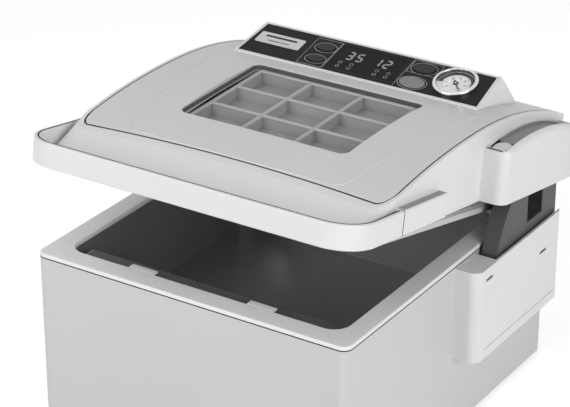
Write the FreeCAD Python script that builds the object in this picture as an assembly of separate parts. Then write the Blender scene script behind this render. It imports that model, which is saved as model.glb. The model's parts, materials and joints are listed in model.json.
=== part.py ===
import FreeCAD, Part
import math
import os

V = FreeCAD.Vector
X_DIR = V(1, 0, 0)
Y_DIR = V(0, 1, 0)
Z_DIR = V(0, 0, 1)

# All sizes in mm. While it is modelled, x is 0 in the middle, y runs back from the cabinet's
# front face, and z runs up from the cabinet's bottom edge.

# Shared clearances
SLIDE_GAP = 0.4
RUN_GAP = 0.05
SEAM_GAP = 1.4
TRIM_GAP = 0.1
OVERCUT = 1.0
FAR = 600.0
NEAR = 0.01

# Cabinet
BODY_W = 318.0
BODY_D = 358.0
BODY_H = 163.0
BODY_WALL = 2.5
BODY_CORNER_R = 9.0
RIM_T = 4.0
RIM_SIDE = 19.5
RIM_FRONT = 21.0
REAR_DECK = 67.0
RIM_EDGE_R = 1.6
BASE_T = 2.0
FOOT_R = 11.0
FOOT_TAPER = 1.0
FOOT_H = 4.0
FOOT_INSET = 32.0
VENT_ROWS = 9
VENT_PITCH = 8.0
VENT_W = 70.0
VENT_H = 3.2
VENT_Z = 78.0
VENT_X = 106.0
ORIGIN_BACK = 7.0

# Vacuum chamber
CHAMBER_OVER_PUMP = 9.0
CHAMBER_R = 16.0
CHAMBER_WALL = 1.5
CHAMBER_FLANGE = 8.0

# Seal bar in the chamber and the bag clips in front of it
BAR_END_GAP = 9.5
BAR_W = 12.0
BAR_H = 16.0
BAR_FRONT_GAP = 12.0
BAR_BELOW_RIM = 9.0
BAR_EDGE_R = 1.0
WIRE_W = 3.0
WIRE_T = 0.5
WIRE_END = 4.0
TAPE_W = 10.0
TAPE_T = 0.3
TAPE_END = 1.0
PISTON_R = 6.0
PISTON_FOOT_GAP = 14.5
PISTON_INSET = 40.0
CYLINDER_WALL = 2.5
CYLINDER_BELOW_BAR = 13.0
CLIP_W = 26.0
CLIP_SPACING = 122.0
CLIP_T = 1.8
CLIP_H = 11.0
CLIP_LIP = 6.0
CLIP_PIN_R = 1.2
CLIP_KNUCKLE_R = 2.6
CLIP_LUG_W = 3.0

# Lid hinge: a pin on each flank of the cabinet, inside a box
HINGE_FROM_BACK = 33.0
HINGE_BELOW_RIM = 35.0
LID_TILT = 10.08
LID_RAKE = 3.5
PIN_R = 4.0
PIN_CLIP_W = 3.0
PIN_CLIP_T = 1.0
BOX_OUT = 24.0
BOX_AHEAD = 38.0
BOX_BACK_INSET = 23.0
BOX_H = 89.0
BOX_BELOW_SEAM = 1.0
BOX_WALL = 2.5
BOX_FRONT_R = 10.0
BOX_REAR_R = 6.0
BOX_SLOT_SET = 35.0
BOX_NOTCH = 15.0
BOX_SLITS = ((20.0, 11.0), (122.6, 28.6))
SLIT_L = 13.0
SLIT_H = 2.6
SLIT_DEPTH = 1.2
BOX_LINE_RISE = 9.0
BOX_LINE_W = 0.9
BOX_LINE_START = 14.0
BRACKET_T = 2.5
BRACKET_SET = 10.0
ARM_GAP = 1.0
ARM_T = 15.5
ARM_R = 109.0
ARM_WALL = 3.0
ARM_BOSS_R = 7.0
ARM_LOW_ANGLE = -25.0
ARM_HIGH_ANGLE = 42.0
ARM_RISE = 101.0
ARM_BEHIND = 6.0
ARM_HEEL = 28.0
ARM_NECK = (-3.0, 18.0)
ARM_KNUCKLE = 4.0
ARM_TOE = (-7.0, -10.0)
ARM_PAD_R = 8.0
ARM_BOLT_DROP = 12.0
ARM_BOLT_FRONT = 68.0
ARM_BOLT_REAR = 26.0
ARM_BOLT_GRIP = 12.0
ARM_RECESS_FRONT = 50.0
ARM_RECESS_REAR = 21.0
ARM_RECESS_LOW = 39.0
ARM_RECESS_HIGH = 80.0
SPRING_R = 6.2
SPRING_WIRE_R = 0.9
SPRING_TURNS = 2.5
SPRING_PITCH = 2.2

# Lid casing, drawn with its handle level
LID_LIFT = 24.0
LID_WALL = 3.0
LID_FRONT_Y = 1.5
LID_KNEE = 8.0
LID_REAR_OVER = 2.0
LID_CORNER_R = 14.0
LID_CROWN = 1.5
LID_TOP_LEAN = 0.17
TOP_OPEN = 30.0
WALL_REACH = 120.0
LEDGE_W = 5.0
LEDGE_T = 2.5
COVER_T = 3.0
SEAM_FRONT_Y = 32.3
SEAM_FRONT_RISE = 25.8
SEAM_BULGE_Y = 113.0
SEAM_BULGE_RISE = 50.0
SEAM_SHOULDER_FROM_BACK = 163.0
SEAM_SHOULDER_RISE = 64.6
SEAM_TOP_FROM_BACK = 108.0
SEAM_TOP_RISE = 67.6
SEAM_REAR_RISE = 51.4
WINDOW_FRONT_Y = 93.0
WINDOW_FROM_BACK = 136.5
WINDOW_FRONT_W = 171.0
WINDOW_BACK_W = 177.0
WINDOW_R = 8.0
WINDOW_LIP = 6.0
WINDOW_LIP_T = 2.0

# Handle round the front of the lid
HANDLE_OUT = 9.5
HANDLE_REACH = 25.3
HANDLE_RISE = 26.4
HANDLE_H = 22.0
HANDLE_T = 5.0
HANDLE_R = 33.0
HANDLE_EDGE_R = 1.6
HANDLE_END_Y = 52.5
BLOCK_LEN = 74.0

# Hinge covers on the lid's flanks
HOOD_LEN = 154.0
HOOD_BACK_INSET = 1.0
HOOD_BOTTOM_RISE = 1.0
HOOD_FRONT_H = 48.0
HOOD_MID_SET = 59.0
HOOD_MID_H = 56.6
HOOD_REAR_H = 44.0
HOOD_WALL = 2.5
HOOD_FRONT_R = 10.0
HOOD_EDGE_R = 5.0
GROOVE_W = 18.0
GROOVE_DEPTH = 4.0
GROOVE_INSET = 1.5
GROOVE_FRONT = 3.2
GROOVE_END = 12.0
GROOVE_REACH = 20.0
PLUG_L = 20.0
PLUG_W = 16.0
PLUG_H = 4.2
PLUG_LEAN = 11.0
PLUG_SET = 8.9
PLUG_EDGE_R = 1.2

# Clear pressure lid under the casing, its gasket and the counter pad of the seal bar
PRESSURE_WALL = 5.0
PRESSURE_FRONT_RISE = 5.0
PRESSURE_KNEE_Y = 42.0
PRESSURE_KNEE_RISE = 20.0
RIB_FRONT_RISE = 28.0
RIB_BACK_RISE = 52.0
RIB_GAP = 3.0
RIB_H = 11.0
RIB_SINK = 1.0
RIB_T = 3.0
RIB_CELLS = 3
FLANGE_T = 4.0
FLANGE_LIP = 1.0
POST_R = 5.0
POST_X = 118.0
POST_INSETS = (18.0, 45.0)
GASKET_W = 9.0
GASKET_H = 5.0
GASKET_FROM_EDGE = 7.0
GASKET_CLEAR = 0.3
GASKET_R = 20.0
PAD_W = 9.0
PAD_H = 4.0
PAD_OVER = 1.0
PAD_BELOW_RIM = 2.0
PAD_EDGE_R = 1.0
HOLDER_W = 13.0
HOLDER_REACH = 60.0

# Control panel on top of the lid
PANEL_FROM_BACK = 115.8
PANEL_RUN = 47.8
PANEL_RISE = 20.9
PANEL_FOOT = 40.0
PANEL_BASE_RISE = 69.4
PANEL_W = 258.0
PANEL_LEAN = 4.0
PANEL_WALL = 2.5
PANEL_EDGE_R = 1.2
PANEL_SKIRT = 20.0
PANEL_OPENING_SIDE = 12.0
PANEL_OPENING_FRONT = 5.0
HOLE_REACH = 5.0
OVERLAY_BORDER = 3.0
OVERLAY_T = 1.2
LABEL_SIZE = (48.0, 16.0)
LABEL_AT = (-95.0, 28.0)
LABEL_T = 0.8
LABEL_R = 1.5
DISPLAY_SIZE = (70.0, 36.0)
DISPLAY_AT = (1.5, 26.0)
DISPLAY_SINK = 0.6
DISPLAY_T = 0.4
BUTTONS = {
    "power_button": ((-48.5, 34.0), (19.0, 11.5)),
    "mode_button": ((-48.5, 15.0), (18.0, 10.0)),
    "start_button": ((54.5, 37.0), (22.5, 14.0)),
    "stop_button": ((54.5, 14.0), (25.0, 15.5)),
}
BUTTON_PROUD = 1.2
BUTTON_CROWN_R = 0.6
BUTTON_FLANGE = 1.5
BUTTON_FLANGE_T = 1.2
BUTTON_TRAVEL = 0.8
SWITCH_GAP = 0.1
SWITCH_W = 6.0
GAUGE_AT = (92.2, 27.0)
GAUGE_R = 21.0
GAUGE_RING = 3.0
GAUGE_RING_R = 1.5
GAUGE_PROUD = 4.0
GAUGE_DEPTH = 12.0
GAUGE_CASE_R = 18.5
GAUGE_SINK = 1.0
DIAL_T = 0.8
NEEDLE_L = 14.5
NEEDLE_TAIL = 4.5
NEEDLE_W = 2.0
NEEDLE_T = 0.6
NEEDLE_LIFT = 0.3
NEEDLE_HUB_R = 2.4
NEEDLE_PIN_R = 0.9
NEEDLE_PIN_OVER = 0.6
NEEDLE_ANGLE = -50.0
GLASS_T = 1.0
GLASS_SINK = 0.6
BOARD_T = 1.6
BOARD_DROP = 7.5
BOARD_X0 = -74.0
BOARD_X1 = 67.0
BOARD_FRONT = 8.0
BOARD_BACK = 10.0
BOARD_POST_X = 30.0

# Pieces inside the cabinet
MOUNT_R = 8.0
MOUNT_H = 6.0
MOUNT_INSET = 14.0
MOUNT_SPACING = 40.0
PUMP_Y = 200.0
PUMP_L = 68.0
PUMP_D = 70.0
PUMP_H = 62.0
PUMP_X0 = -125.0
PUMP_EDGE_R = 4.0
PUMP_FINS = 6
PUMP_FIN_PITCH = 9.5
PUMP_FIN_SET = 8.0
PUMP_FIN_GAP = 4.0
PUMP_FIN_DEPTH = 8.0
PUMP_SPIGOT = 12.0
MOTOR_R = 30.0
MOTOR_L = 112.0
CRADLE_INSET = 6.0
CRADLE_H = 16.0
SHAFT_R = 4.0
SHAFT_OUT = 17.0
SHAFT_SEAT = 30.0
SHAFT_TIP = 3.0
FAN_R = 26.0
FAN_HUB_R = 9.0
FAN_BLADES = 7
FAN_W = 9.0
BLADE_T = 1.6
BLADE_W = 7.5
BLADE_ROOT = 2.0
BLADE_TWIST = 60.0
CORE_L = 60.0
CORE_D = 66.0
CORE_H = 54.0
CORE_X = 112.0
CORE_Y = 92.0
CORE_YOKE = 12.0
CORE_WINDOW = 16.0
COIL_OVER = 9.0
COIL_R = 4.0
PORT_X = -96.0
PORT_Z = 112.0
PORT_R = 6.0
PORT_BORE_R = 3.5
PORT_FLANGE_R = 16.0
PORT_FLANGE_T = 6.0
PORT_BACK = 20.0
PORT_DROP = 20.0
HOSE_BEND_R = 26.0
HOSE_WALL = 3.0
VALVE_L = 28.0
VALVE_D = 26.0
VALVE_H = 28.0
VALVE_X = -40.0
VALVE_BELOW_DECK = 5.0
VALVE_COIL_R = 11.0
VALVE_COIL_H = 26.0
CIRCUIT_W = 130.0
CIRCUIT_H = 70.0
CIRCUIT_X = 0.0
CIRCUIT_Z = 62.0
RELAY = (10.0, 12.0, 30.0, 18.0, 28.0)
FILTER = (56.0, 20.0, 18.0, 14.0, 24.0)
CAPACITOR_XS = (92.0, 110.0)
CAPACITOR_R = 7.0
CAPACITOR_L = 20.0
CAPACITOR_Z = 20.0
STANDOFF_R = 3.0
STANDOFF_L = 8.0
STANDOFF_INSET = 6.0
INLET_X = 112.0
INLET_Z = 44.0
INLET_W = 27.5
INLET_H = 19.5
INLET_FLANGE_W = 48.0
INLET_FLANGE_H = 25.0
INLET_FLANGE_R = 5.0
INLET_FLANGE_T = 2.0
INLET_WALL = 1.5
INLET_DEPTH = 18.0
INLET_PIN_W = 2.0
INLET_PIN_L = 11.0
INLET_PIN_H = 4.0
INLET_PIN_PITCH = 7.0
INLET_PIN_LIFTS = (-1.0, 3.0, -1.0)
SCREW_R = 2.0
SCREW_HEAD_R = 3.6
SCREW_HEAD_H = 1.6
BASE_SCREW_L = 8.0
BASE_SCREW_X = 135.0
BASE_BOSS_R = 5.5
BASE_BOSS_H = 12.0
BASE_BOSS_BITE = 0.5
SWITCH_BODY = (9.0, 20.0, 12.0)
SWITCH_BODY_SET = 4.0
SWITCH_BODY_DROP = 14.0

# Derived places
HALF_BODY = BODY_W / 2
ORIGIN_Y = BODY_D / 2 + ORIGIN_BACK
RIM_Z = BODY_H + RIM_T
CHAMBER_W = BODY_W - 2 * RIM_SIDE
CHAMBER_FRONT = RIM_FRONT
CHAMBER_REAR = BODY_D - REAR_DECK
PUMP_Z0 = BASE_T + MOUNT_H
CHAMBER_FLOOR = PUMP_Z0 + PUMP_H + CHAMBER_OVER_PUMP
BAR_L = CHAMBER_W - 2 * BAR_END_GAP
BAR_Y0 = CHAMBER_FRONT + BAR_FRONT_GAP
BAR_Y = BAR_Y0 + BAR_W / 2
BAR_TOP = RIM_Z - BAR_BELOW_RIM
BAR_FOOT = BAR_TOP - BAR_H
PISTON_FOOT = CHAMBER_FLOOR + CYLINDER_WALL + PISTON_FOOT_GAP
CYLINDER_TOP = BAR_FOOT - CYLINDER_BELOW_BAR
HINGE_Y = BODY_D - HINGE_FROM_BACK
HINGE_Z = RIM_Z - HINGE_BELOW_RIM
BOX_Y1 = BODY_D - BOX_BACK_INSET
BOX_Y0 = HINGE_Y - ARM_R - BOX_AHEAD
BOX_Z1 = BODY_H - BOX_BELOW_SEAM
BOX_Z0 = BOX_Z1 - BOX_H
BOX_X1 = HALF_BODY + BOX_OUT
BOX_SLOT_Y = BOX_Y0 + BOX_SLOT_SET
BOX_NOTCH_Z = BOX_Z1 - BOX_NOTCH
ARM_X0 = HALF_BODY + BRACKET_T + ARM_GAP
ARM_X1 = ARM_X0 + ARM_T
ARM_TOP_Z = HINGE_Z + ARM_RISE
ARM_BOSS_X0 = ARM_X0 + SPRING_TURNS * SPRING_PITCH + 3 * SPRING_WIRE_R
LID_OPEN = LID_TILT + LID_RAKE
LID_HALF = HALF_BODY
LID_BOTTOM_Z = RIM_Z + LID_LIFT
LID_KNEE_Z = LID_BOTTOM_Z + LID_KNEE
LID_REAR_Y = BODY_D + LID_REAR_OVER
SEAM_FRONT = (SEAM_FRONT_Y, LID_BOTTOM_Z + SEAM_FRONT_RISE)
SEAM_BULGE = (SEAM_BULGE_Y, LID_BOTTOM_Z + SEAM_BULGE_RISE)
SEAM_SHOULDER = (BODY_D - SEAM_SHOULDER_FROM_BACK, LID_BOTTOM_Z + SEAM_SHOULDER_RISE)
SEAM_TOP = (BODY_D - SEAM_TOP_FROM_BACK, LID_BOTTOM_Z + SEAM_TOP_RISE)
SEAM_REAR_Z = LID_BOTTOM_Z + SEAM_REAR_RISE
WINDOW_Y0 = WINDOW_FRONT_Y
WINDOW_Y1 = BODY_D - WINDOW_FROM_BACK
HANDLE_HALF = LID_HALF + HANDLE_OUT
HANDLE_FRONT_Y = LID_FRONT_Y - HANDLE_REACH
HANDLE_TOP_Z = LID_BOTTOM_Z + HANDLE_RISE
HANDLE_LOW_Z = HANDLE_TOP_Z - HANDLE_H
BLOCK_END_Y = HANDLE_END_Y + BLOCK_LEN
HOOD_X1 = LID_HALF + BOX_OUT
HOOD_REAR_Y = BODY_D - HOOD_BACK_INSET
HOOD_FRONT_Y = HOOD_REAR_Y - HOOD_LEN
HOOD_BOTTOM_Z = LID_BOTTOM_Z + HOOD_BOTTOM_RISE
HOOD_FRONT_Z = HOOD_BOTTOM_Z + HOOD_FRONT_H
HOOD_REAR_Z = HOOD_BOTTOM_Z + HOOD_REAR_H
HOOD_TOP = (HOOD_FRONT_Y + HOOD_MID_SET, HOOD_BOTTOM_Z + HOOD_MID_H)
GASKET_Z = RIM_Z + GASKET_CLEAR
FLANGE_Z = GASKET_Z + GASKET_H
GASKET_OUT = GASKET_FROM_EDGE + GASKET_W / 2
PRESSURE_HALF = CHAMBER_W / 2 + GASKET_OUT - FLANGE_LIP
PRESSURE_FRONT_Z = LID_BOTTOM_Z + PRESSURE_FRONT_RISE
PRESSURE_KNEE = (PRESSURE_KNEE_Y, LID_BOTTOM_Z + PRESSURE_KNEE_RISE)
RIB_HALF = WINDOW_FRONT_W / 2 - RIB_GAP
RIB_FRONT = (WINDOW_Y0 + RIB_GAP, LID_BOTTOM_Z + RIB_FRONT_RISE)
RIB_BACK = (WINDOW_Y1 - RIB_GAP, LID_BOTTOM_Z + RIB_BACK_RISE)
PAD_HALF = BAR_L / 2 + PAD_OVER
PAD_Z = RIM_Z - PAD_BELOW_RIM
PANEL_FRONT = (BODY_D - PANEL_FROM_BACK, LID_BOTTOM_Z + PANEL_BASE_RISE)
PANEL_BACK = (PANEL_FRONT[0] + PANEL_RUN, PANEL_FRONT[1] + PANEL_RISE)
PANEL_SLOPE = math.degrees(math.atan2(PANEL_RISE, PANEL_RUN))
PANEL_LEN = math.hypot(PANEL_RUN, PANEL_RISE)
PANEL_REAR_Y = PANEL_BACK[0] + PANEL_FOOT
BUTTON_LOW = -PANEL_WALL - SLIDE_GAP
MOTOR_X0 = PUMP_X0 + PUMP_L
MOTOR_X1 = MOTOR_X0 + MOTOR_L
MOTOR_Z = PUMP_Z0 + PUMP_H / 2
VALVE_Z = BODY_H - VALVE_BELOW_DECK - VALVE_COIL_H - VALVE_H


def block(x0, x1, y0, y1, z0, z1):
    return Part.makeBox(x1 - x0, y1 - y0, z1 - z0, V(x0, y0, z0))


def rod(radius, start, end):
    axis = end - start
    return Part.makeCylinder(radius, axis.Length, start, axis)


def edges_along(shape, direction):
    picked = []
    for edge in shape.Edges:
        run = edge.Vertexes[-1].Point - edge.Vertexes[0].Point
        if run.Length > 0 and run.cross(direction).Length < NEAR * run.Length:
            picked.append(edge)
    return picked


def rounded_block(x0, x1, y0, y1, z0, z1, radius):
    plain = block(x0, x1, y0, y1, z0, z1)
    return plain.makeFillet(radius, edges_along(plain, Z_DIR))


def front_rounded_block(half, y0, y1, z0, z1, radius):
    """Block centred on x with only its two front upright edges rounded."""
    plain = block(-half, half, y0, y1, z0, z1)
    front = [edge for edge in edges_along(plain, Z_DIR) if edge.BoundBox.YMax < y0 + NEAR]
    return plain.makeFillet(radius, front)


def side_outline(x, start, *steps):
    """Closed wire in a plane of constant x; a step is a point or a pair (arc middle, arc end)."""
    def at(point):
        return V(x, point[0], point[1])
    edges = []
    here = start
    for step in steps:
        if isinstance(step[0], tuple):
            edges.append(Part.Arc(at(here), at(step[0]), at(step[1])).toShape())
            here = step[1]
        else:
            edges.append(Part.makeLine(at(here), at(step)))
            here = step
    edges.append(Part.makeLine(at(here), at(start)))
    return Part.Wire(edges)


def side_prism(x0, x1, start, *steps):
    wire = side_outline(x0, start, *steps)
    return Part.Face(wire).extrude(V(x1 - x0, 0, 0))


def swing(shape, degrees):
    """Turn a lid piece about the hinge pins; positive lifts the lid's front."""
    return shape.rotated(V(0, HINGE_Y, HINGE_Z), X_DIR, -degrees)


def opened(level_shape):
    return swing(level_shape, LID_TILT)


def opened_from_shut(shut_shape):
    return swing(shut_shape, LID_OPEN)


def shut_to_level(y, z):
    """Where a point of the shut lid lies once the lid is turned so that its handle is level."""
    turn = math.radians(LID_RAKE)
    run = y - HINGE_Y
    rise = z - HINGE_Z
    level_y = HINGE_Y + run * math.cos(turn) + rise * math.sin(turn)
    level_z = HINGE_Z - run * math.sin(turn) + rise * math.cos(turn)
    return level_y, level_z


def mirrored(shape):
    return shape.mirror(V(0, 0, 0), X_DIR)


def on_panel(shape):
    """From panel coordinates (x, up the slope, out of the face) to the level lid."""
    tilted = shape.rotated(V(0, 0, 0), X_DIR, PANEL_SLOPE)
    return tilted.translated(V(0, PANEL_FRONT[0], PANEL_FRONT[1]))


def oval(centre, size, z0, z1, grow=0.0):
    """Upright solid with an oval outline."""
    long_r = size[0] / 2 + grow
    short_r = size[1] / 2 + grow
    ellipse = Part.Ellipse(V(centre[0], centre[1], z0), long_r, short_r)
    face = Part.Face(Part.Wire([ellipse.toShape()]))
    return face.extrude(V(0, 0, z1 - z0))


def screw(head_at, direction, length):
    """Round-headed screw: the head lies outside head_at, the shank goes along direction."""
    head = rod(SCREW_HEAD_R, head_at - direction * SCREW_HEAD_H, head_at)
    shank = rod(SCREW_R, head_at, head_at + direction * length)
    return head.fuse(shank).removeSplitter()


# Cabinet


def base_screw_places():
    inset = BODY_WALL + BASE_BOSS_R - BASE_BOSS_BITE
    for x in (-BASE_SCREW_X, 0.0, BASE_SCREW_X):
        for y in (inset, BODY_D - inset):
            yield x, y


def body_shell():
    shell = rounded_block(-HALF_BODY, HALF_BODY, 0, BODY_D, 0, BODY_H, BODY_CORNER_R)
    inner = rounded_block(-HALF_BODY + BODY_WALL, HALF_BODY - BODY_WALL, BODY_WALL, BODY_D - BODY_WALL,
                          -OVERCUT, BODY_H + OVERCUT, BODY_CORNER_R - BODY_WALL)
    shell = shell.cut(inner)
    for x, y in base_screw_places():
        boss = Part.makeCylinder(BASE_BOSS_R, BASE_BOSS_H, V(x, y, BASE_T))
        hole = Part.makeCylinder(SCREW_R, BASE_BOSS_H, V(x, y, BASE_T - OVERCUT))
        shell = shell.fuse(boss).cut(hole)
    back = (BODY_D - BODY_WALL - OVERCUT, BODY_D + OVERCUT)
    cuts = []
    for row in range(VENT_ROWS):
        z = VENT_Z + row * VENT_PITCH
        for x in (-VENT_X, VENT_X):
            cuts.append(block(x - VENT_W / 2, x + VENT_W / 2, back[0], back[1], z, z + VENT_H))
    cuts.append(inlet_block(INLET_W / 2 + SLIDE_GAP, INLET_H / 2 + SLIDE_GAP, back[0], back[1]))
    return shell.cut(Part.makeCompound(cuts)).removeSplitter()


def base_plate():
    inset = BODY_WALL + SLIDE_GAP
    plate = rounded_block(-HALF_BODY + inset, HALF_BODY - inset, inset, BODY_D - inset, 0, BASE_T,
                          BODY_CORNER_R - inset)
    for x, y in base_screw_places():
        plate = plate.cut(Part.makeCylinder(SCREW_R + TRIM_GAP, BASE_T * 2, V(x, y, -BASE_T / 2)))
    return plate


def foot_places():
    for x in (-HALF_BODY + FOOT_INSET, HALF_BODY - FOOT_INSET):
        for y in (FOOT_INSET, BODY_D - FOOT_INSET):
            yield x, y


def rubber_feet():
    feet = []
    for x, y in foot_places():
        feet.append(Part.makeCone(FOOT_R - FOOT_TAPER, FOOT_R, FOOT_H, V(x, y, -FOOT_H)))
    return Part.makeCompound(feet)


def rim_frame():
    deck = rounded_block(-HALF_BODY, HALF_BODY, 0, BODY_D, BODY_H, RIM_Z, BODY_CORNER_R)
    hole = rounded_block(-CHAMBER_W / 2, CHAMBER_W / 2, CHAMBER_FRONT, CHAMBER_REAR, BODY_H - OVERCUT,
                         RIM_Z + OVERCUT, CHAMBER_R)
    deck = deck.cut(hole)
    top_edges = [edge for edge in deck.Edges if edge.BoundBox.ZMin > RIM_Z - NEAR]
    return deck.makeFillet(RIM_EDGE_R, top_edges)


def clip_places():
    return (-CLIP_SPACING / 2, CLIP_SPACING / 2)


def clip_pin_at(x):
    return V(x, CHAMBER_FRONT + CLIP_KNUCKLE_R + SLIDE_GAP, RIM_Z - CLIP_H)


def clip_lug_sides(x):
    inner = CLIP_W / 2 + SLIDE_GAP
    return ((x - inner - CLIP_LUG_W, x - inner), (x + inner, x + inner + CLIP_LUG_W))


def around_chamber(out, z0, z1):
    """Rounded block round the chamber opening, its sides moved out by out."""
    return rounded_block(-CHAMBER_W / 2 - out, CHAMBER_W / 2 + out, CHAMBER_FRONT - out, CHAMBER_REAR + out,
                         z0, z1, CHAMBER_R + out)


def chamber_well():
    tub = around_chamber(CHAMBER_WALL, CHAMBER_FLOOR - CHAMBER_WALL, BODY_H)
    flange = around_chamber(CHAMBER_FLANGE, BODY_H - CHAMBER_WALL, BODY_H)
    well = tub.fuse(flange).cut(around_chamber(0, CHAMBER_FLOOR, BODY_H + OVERCUT))
    port_start = V(PORT_X, CHAMBER_REAR - OVERCUT, PORT_Z)
    port_end = V(PORT_X, CHAMBER_REAR + CHAMBER_WALL + OVERCUT, PORT_Z)
    well = well.cut(rod(PORT_R + TRIM_GAP, port_start, port_end))
    return well.removeSplitter()


# Seal bar and bag clips


def piston_places():
    x = BAR_L / 2 - PISTON_INSET
    return (-x, x)


def seal_bar():
    bar = block(-BAR_L / 2, BAR_L / 2, BAR_Y0, BAR_Y0 + BAR_W, BAR_FOOT, BAR_TOP)
    bar = bar.makeFillet(BAR_EDGE_R, edges_along(bar, X_DIR))
    half = BAR_L / 2 - WIRE_END
    groove = block(-half, half, BAR_Y - WIRE_W / 2, BAR_Y + WIRE_W / 2, BAR_TOP - WIRE_T, BAR_TOP + OVERCUT)
    bar = bar.cut(groove)
    for x in piston_places():
        bar = bar.fuse(rod(PISTON_R, V(x, BAR_Y, PISTON_FOOT), V(x, BAR_Y, BAR_FOOT)))
    return bar.removeSplitter()


def seal_wire():
    half = BAR_L / 2 - WIRE_END
    return block(-half, half, BAR_Y - WIRE_W / 2, BAR_Y + WIRE_W / 2, BAR_TOP - WIRE_T, BAR_TOP)


def seal_tape():
    half = BAR_L / 2 - TAPE_END
    return block(-half, half, BAR_Y - TAPE_W / 2, BAR_Y + TAPE_W / 2, BAR_TOP, BAR_TOP + TAPE_T)


def lift_cylinders():
    cylinders = []
    for x in piston_places():
        low = V(x, BAR_Y, CHAMBER_FLOOR)
        bore_low = V(x, BAR_Y, CHAMBER_FLOOR + CYLINDER_WALL)
        high = V(x, BAR_Y, CYLINDER_TOP)
        bore = PISTON_R + RUN_GAP
        cylinders.append(rod(bore + CYLINDER_WALL, low, high).cut(rod(bore, bore_low, high + Z_DIR)))
    return Part.makeCompound(cylinders)


def bag_clip(x):
    pin = clip_pin_at(x)
    x0 = x - CLIP_W / 2
    x1 = x + CLIP_W / 2
    leaf_y = pin.y - CLIP_KNUCKLE_R
    leaf = block(x0, x1, leaf_y, leaf_y + CLIP_T, pin.z, RIM_Z)
    lip = block(x0, x1, leaf_y, leaf_y + CLIP_LIP, RIM_Z - CLIP_T, RIM_Z)
    knuckle = rod(CLIP_KNUCKLE_R, V(x0, pin.y, pin.z), V(x1, pin.y, pin.z))
    bore = rod(CLIP_PIN_R + RUN_GAP, V(x0 - OVERCUT, pin.y, pin.z), V(x1 + OVERCUT, pin.y, pin.z))
    return leaf.fuse([lip, knuckle]).cut(bore).removeSplitter()


def clip_pins():
    """Each clip's pin with the two lugs that carry it on the chamber's front wall."""
    pins = []
    for x in clip_places():
        pin = clip_pin_at(x)
        sides = clip_lug_sides(x)
        carrier = rod(CLIP_PIN_R, V(sides[0][0], pin.y, pin.z), V(sides[1][1], pin.y, pin.z))
        for x0, x1 in sides:
            lug = block(x0, x1, CHAMBER_FRONT, pin.y + CLIP_KNUCKLE_R, pin.z - CLIP_KNUCKLE_R,
                        pin.z + CLIP_KNUCKLE_R)
            carrier = carrier.fuse(lug)
        pins.append(carrier.removeSplitter())
    return Part.makeCompound(pins)


# Hinge on the right flank; the left one is its mirror image


def outer_edge(shape, x1, y):
    """Upright edges of a flank piece on its outer face at depth y."""
    return [edge for edge in edges_along(shape, Z_DIR)
            if edge.BoundBox.XMin > x1 - NEAR and abs(edge.BoundBox.YMin - y) < NEAR]


def hinge_box():
    box = block(HALF_BODY, BOX_X1, BOX_Y0, BOX_Y1, BOX_Z0, BOX_Z1)
    box = box.makeFillet(BOX_FRONT_R, outer_edge(box, BOX_X1, BOX_Y0))
    box = box.makeFillet(BOX_REAR_R, outer_edge(box, BOX_X1, BOX_Y1))
    inner_x1 = BOX_X1 - BOX_WALL
    inner_y0 = BOX_Y0 + BOX_WALL
    inner_y1 = BOX_Y1 - BOX_WALL
    space = block(HALF_BODY - OVERCUT, inner_x1, inner_y0, inner_y1, BOX_Z0 + BOX_WALL, BOX_Z1 - BOX_WALL)
    space = space.makeFillet(BOX_FRONT_R - BOX_WALL, outer_edge(space, inner_x1, inner_y0))
    slot = block(HALF_BODY - OVERCUT, inner_x1, BOX_SLOT_Y, inner_y1, BOX_Z1 - BOX_WALL - OVERCUT,
                 BOX_Z1 + OVERCUT)
    notch = block(HALF_BODY - OVERCUT, inner_x1, inner_y1 - BOX_REAR_R, BOX_Y1 + OVERCUT, BOX_NOTCH_Z,
                  BOX_Z1 + OVERCUT)
    box = box.cut(space).cut(slot).cut(notch)
    for back, down in BOX_SLITS:
        y = BOX_Y0 + back
        z = BOX_Z1 - down
        box = box.cut(block(BOX_X1 - SLIT_DEPTH, BOX_X1 + OVERCUT, y - SLIT_L / 2, y + SLIT_L / 2,
                            z - SLIT_H / 2, z + SLIT_H / 2))
    line_z = BOX_Z0 + BOX_LINE_RISE
    line = block(BOX_X1 - BOX_LINE_W, BOX_X1 + OVERCUT, BOX_Y0 + BOX_LINE_START, BOX_Y1 - BOX_REAR_R, line_z,
                 line_z + BOX_LINE_W)
    return box.cut(line).removeSplitter()


def hinge_line(x0, x1, radius):
    return rod(radius, V(x0, HINGE_Y, HINGE_Z), V(x1, HINGE_Y, HINGE_Z))


def hinge_bracket():
    x1 = HALF_BODY + BRACKET_T
    plate = block(HALF_BODY, x1, BOX_SLOT_Y + BRACKET_SET, BOX_Y1 - BOX_WALL - SLIDE_GAP,
                  BOX_Z0 + BOX_WALL + SLIDE_GAP, BOX_NOTCH_Z)
    return plate.cut(hinge_line(HALF_BODY - OVERCUT, x1 + OVERCUT, PIN_R))


def hinge_pin():
    return hinge_line(HALF_BODY, BOX_X1 - BOX_WALL - SLIDE_GAP / 2, PIN_R)


def pin_clip():
    x0 = ARM_X1 + SLIDE_GAP
    x1 = x0 + PIN_CLIP_T
    ring = hinge_line(x0, x1, PIN_R + PIN_CLIP_W)
    return ring.cut(hinge_line(x0 - OVERCUT, x1 + OVERCUT, PIN_R))


def at_angle(radius, degrees):
    """Point in front of the hinge axis, the angle counted up from level."""
    turn = math.radians(degrees)
    return HINGE_Y - radius * math.cos(turn), HINGE_Z + radius * math.sin(turn)


def from_rest(run, rise):
    """Point given from the hinge axis in the photographed pose, moved to the level lid."""
    turn = math.radians(LID_TILT)
    level_y = HINGE_Y + run * math.cos(turn) - rise * math.sin(turn)
    level_z = HINGE_Z + run * math.sin(turn) + rise * math.cos(turn)
    return level_y, level_z


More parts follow.
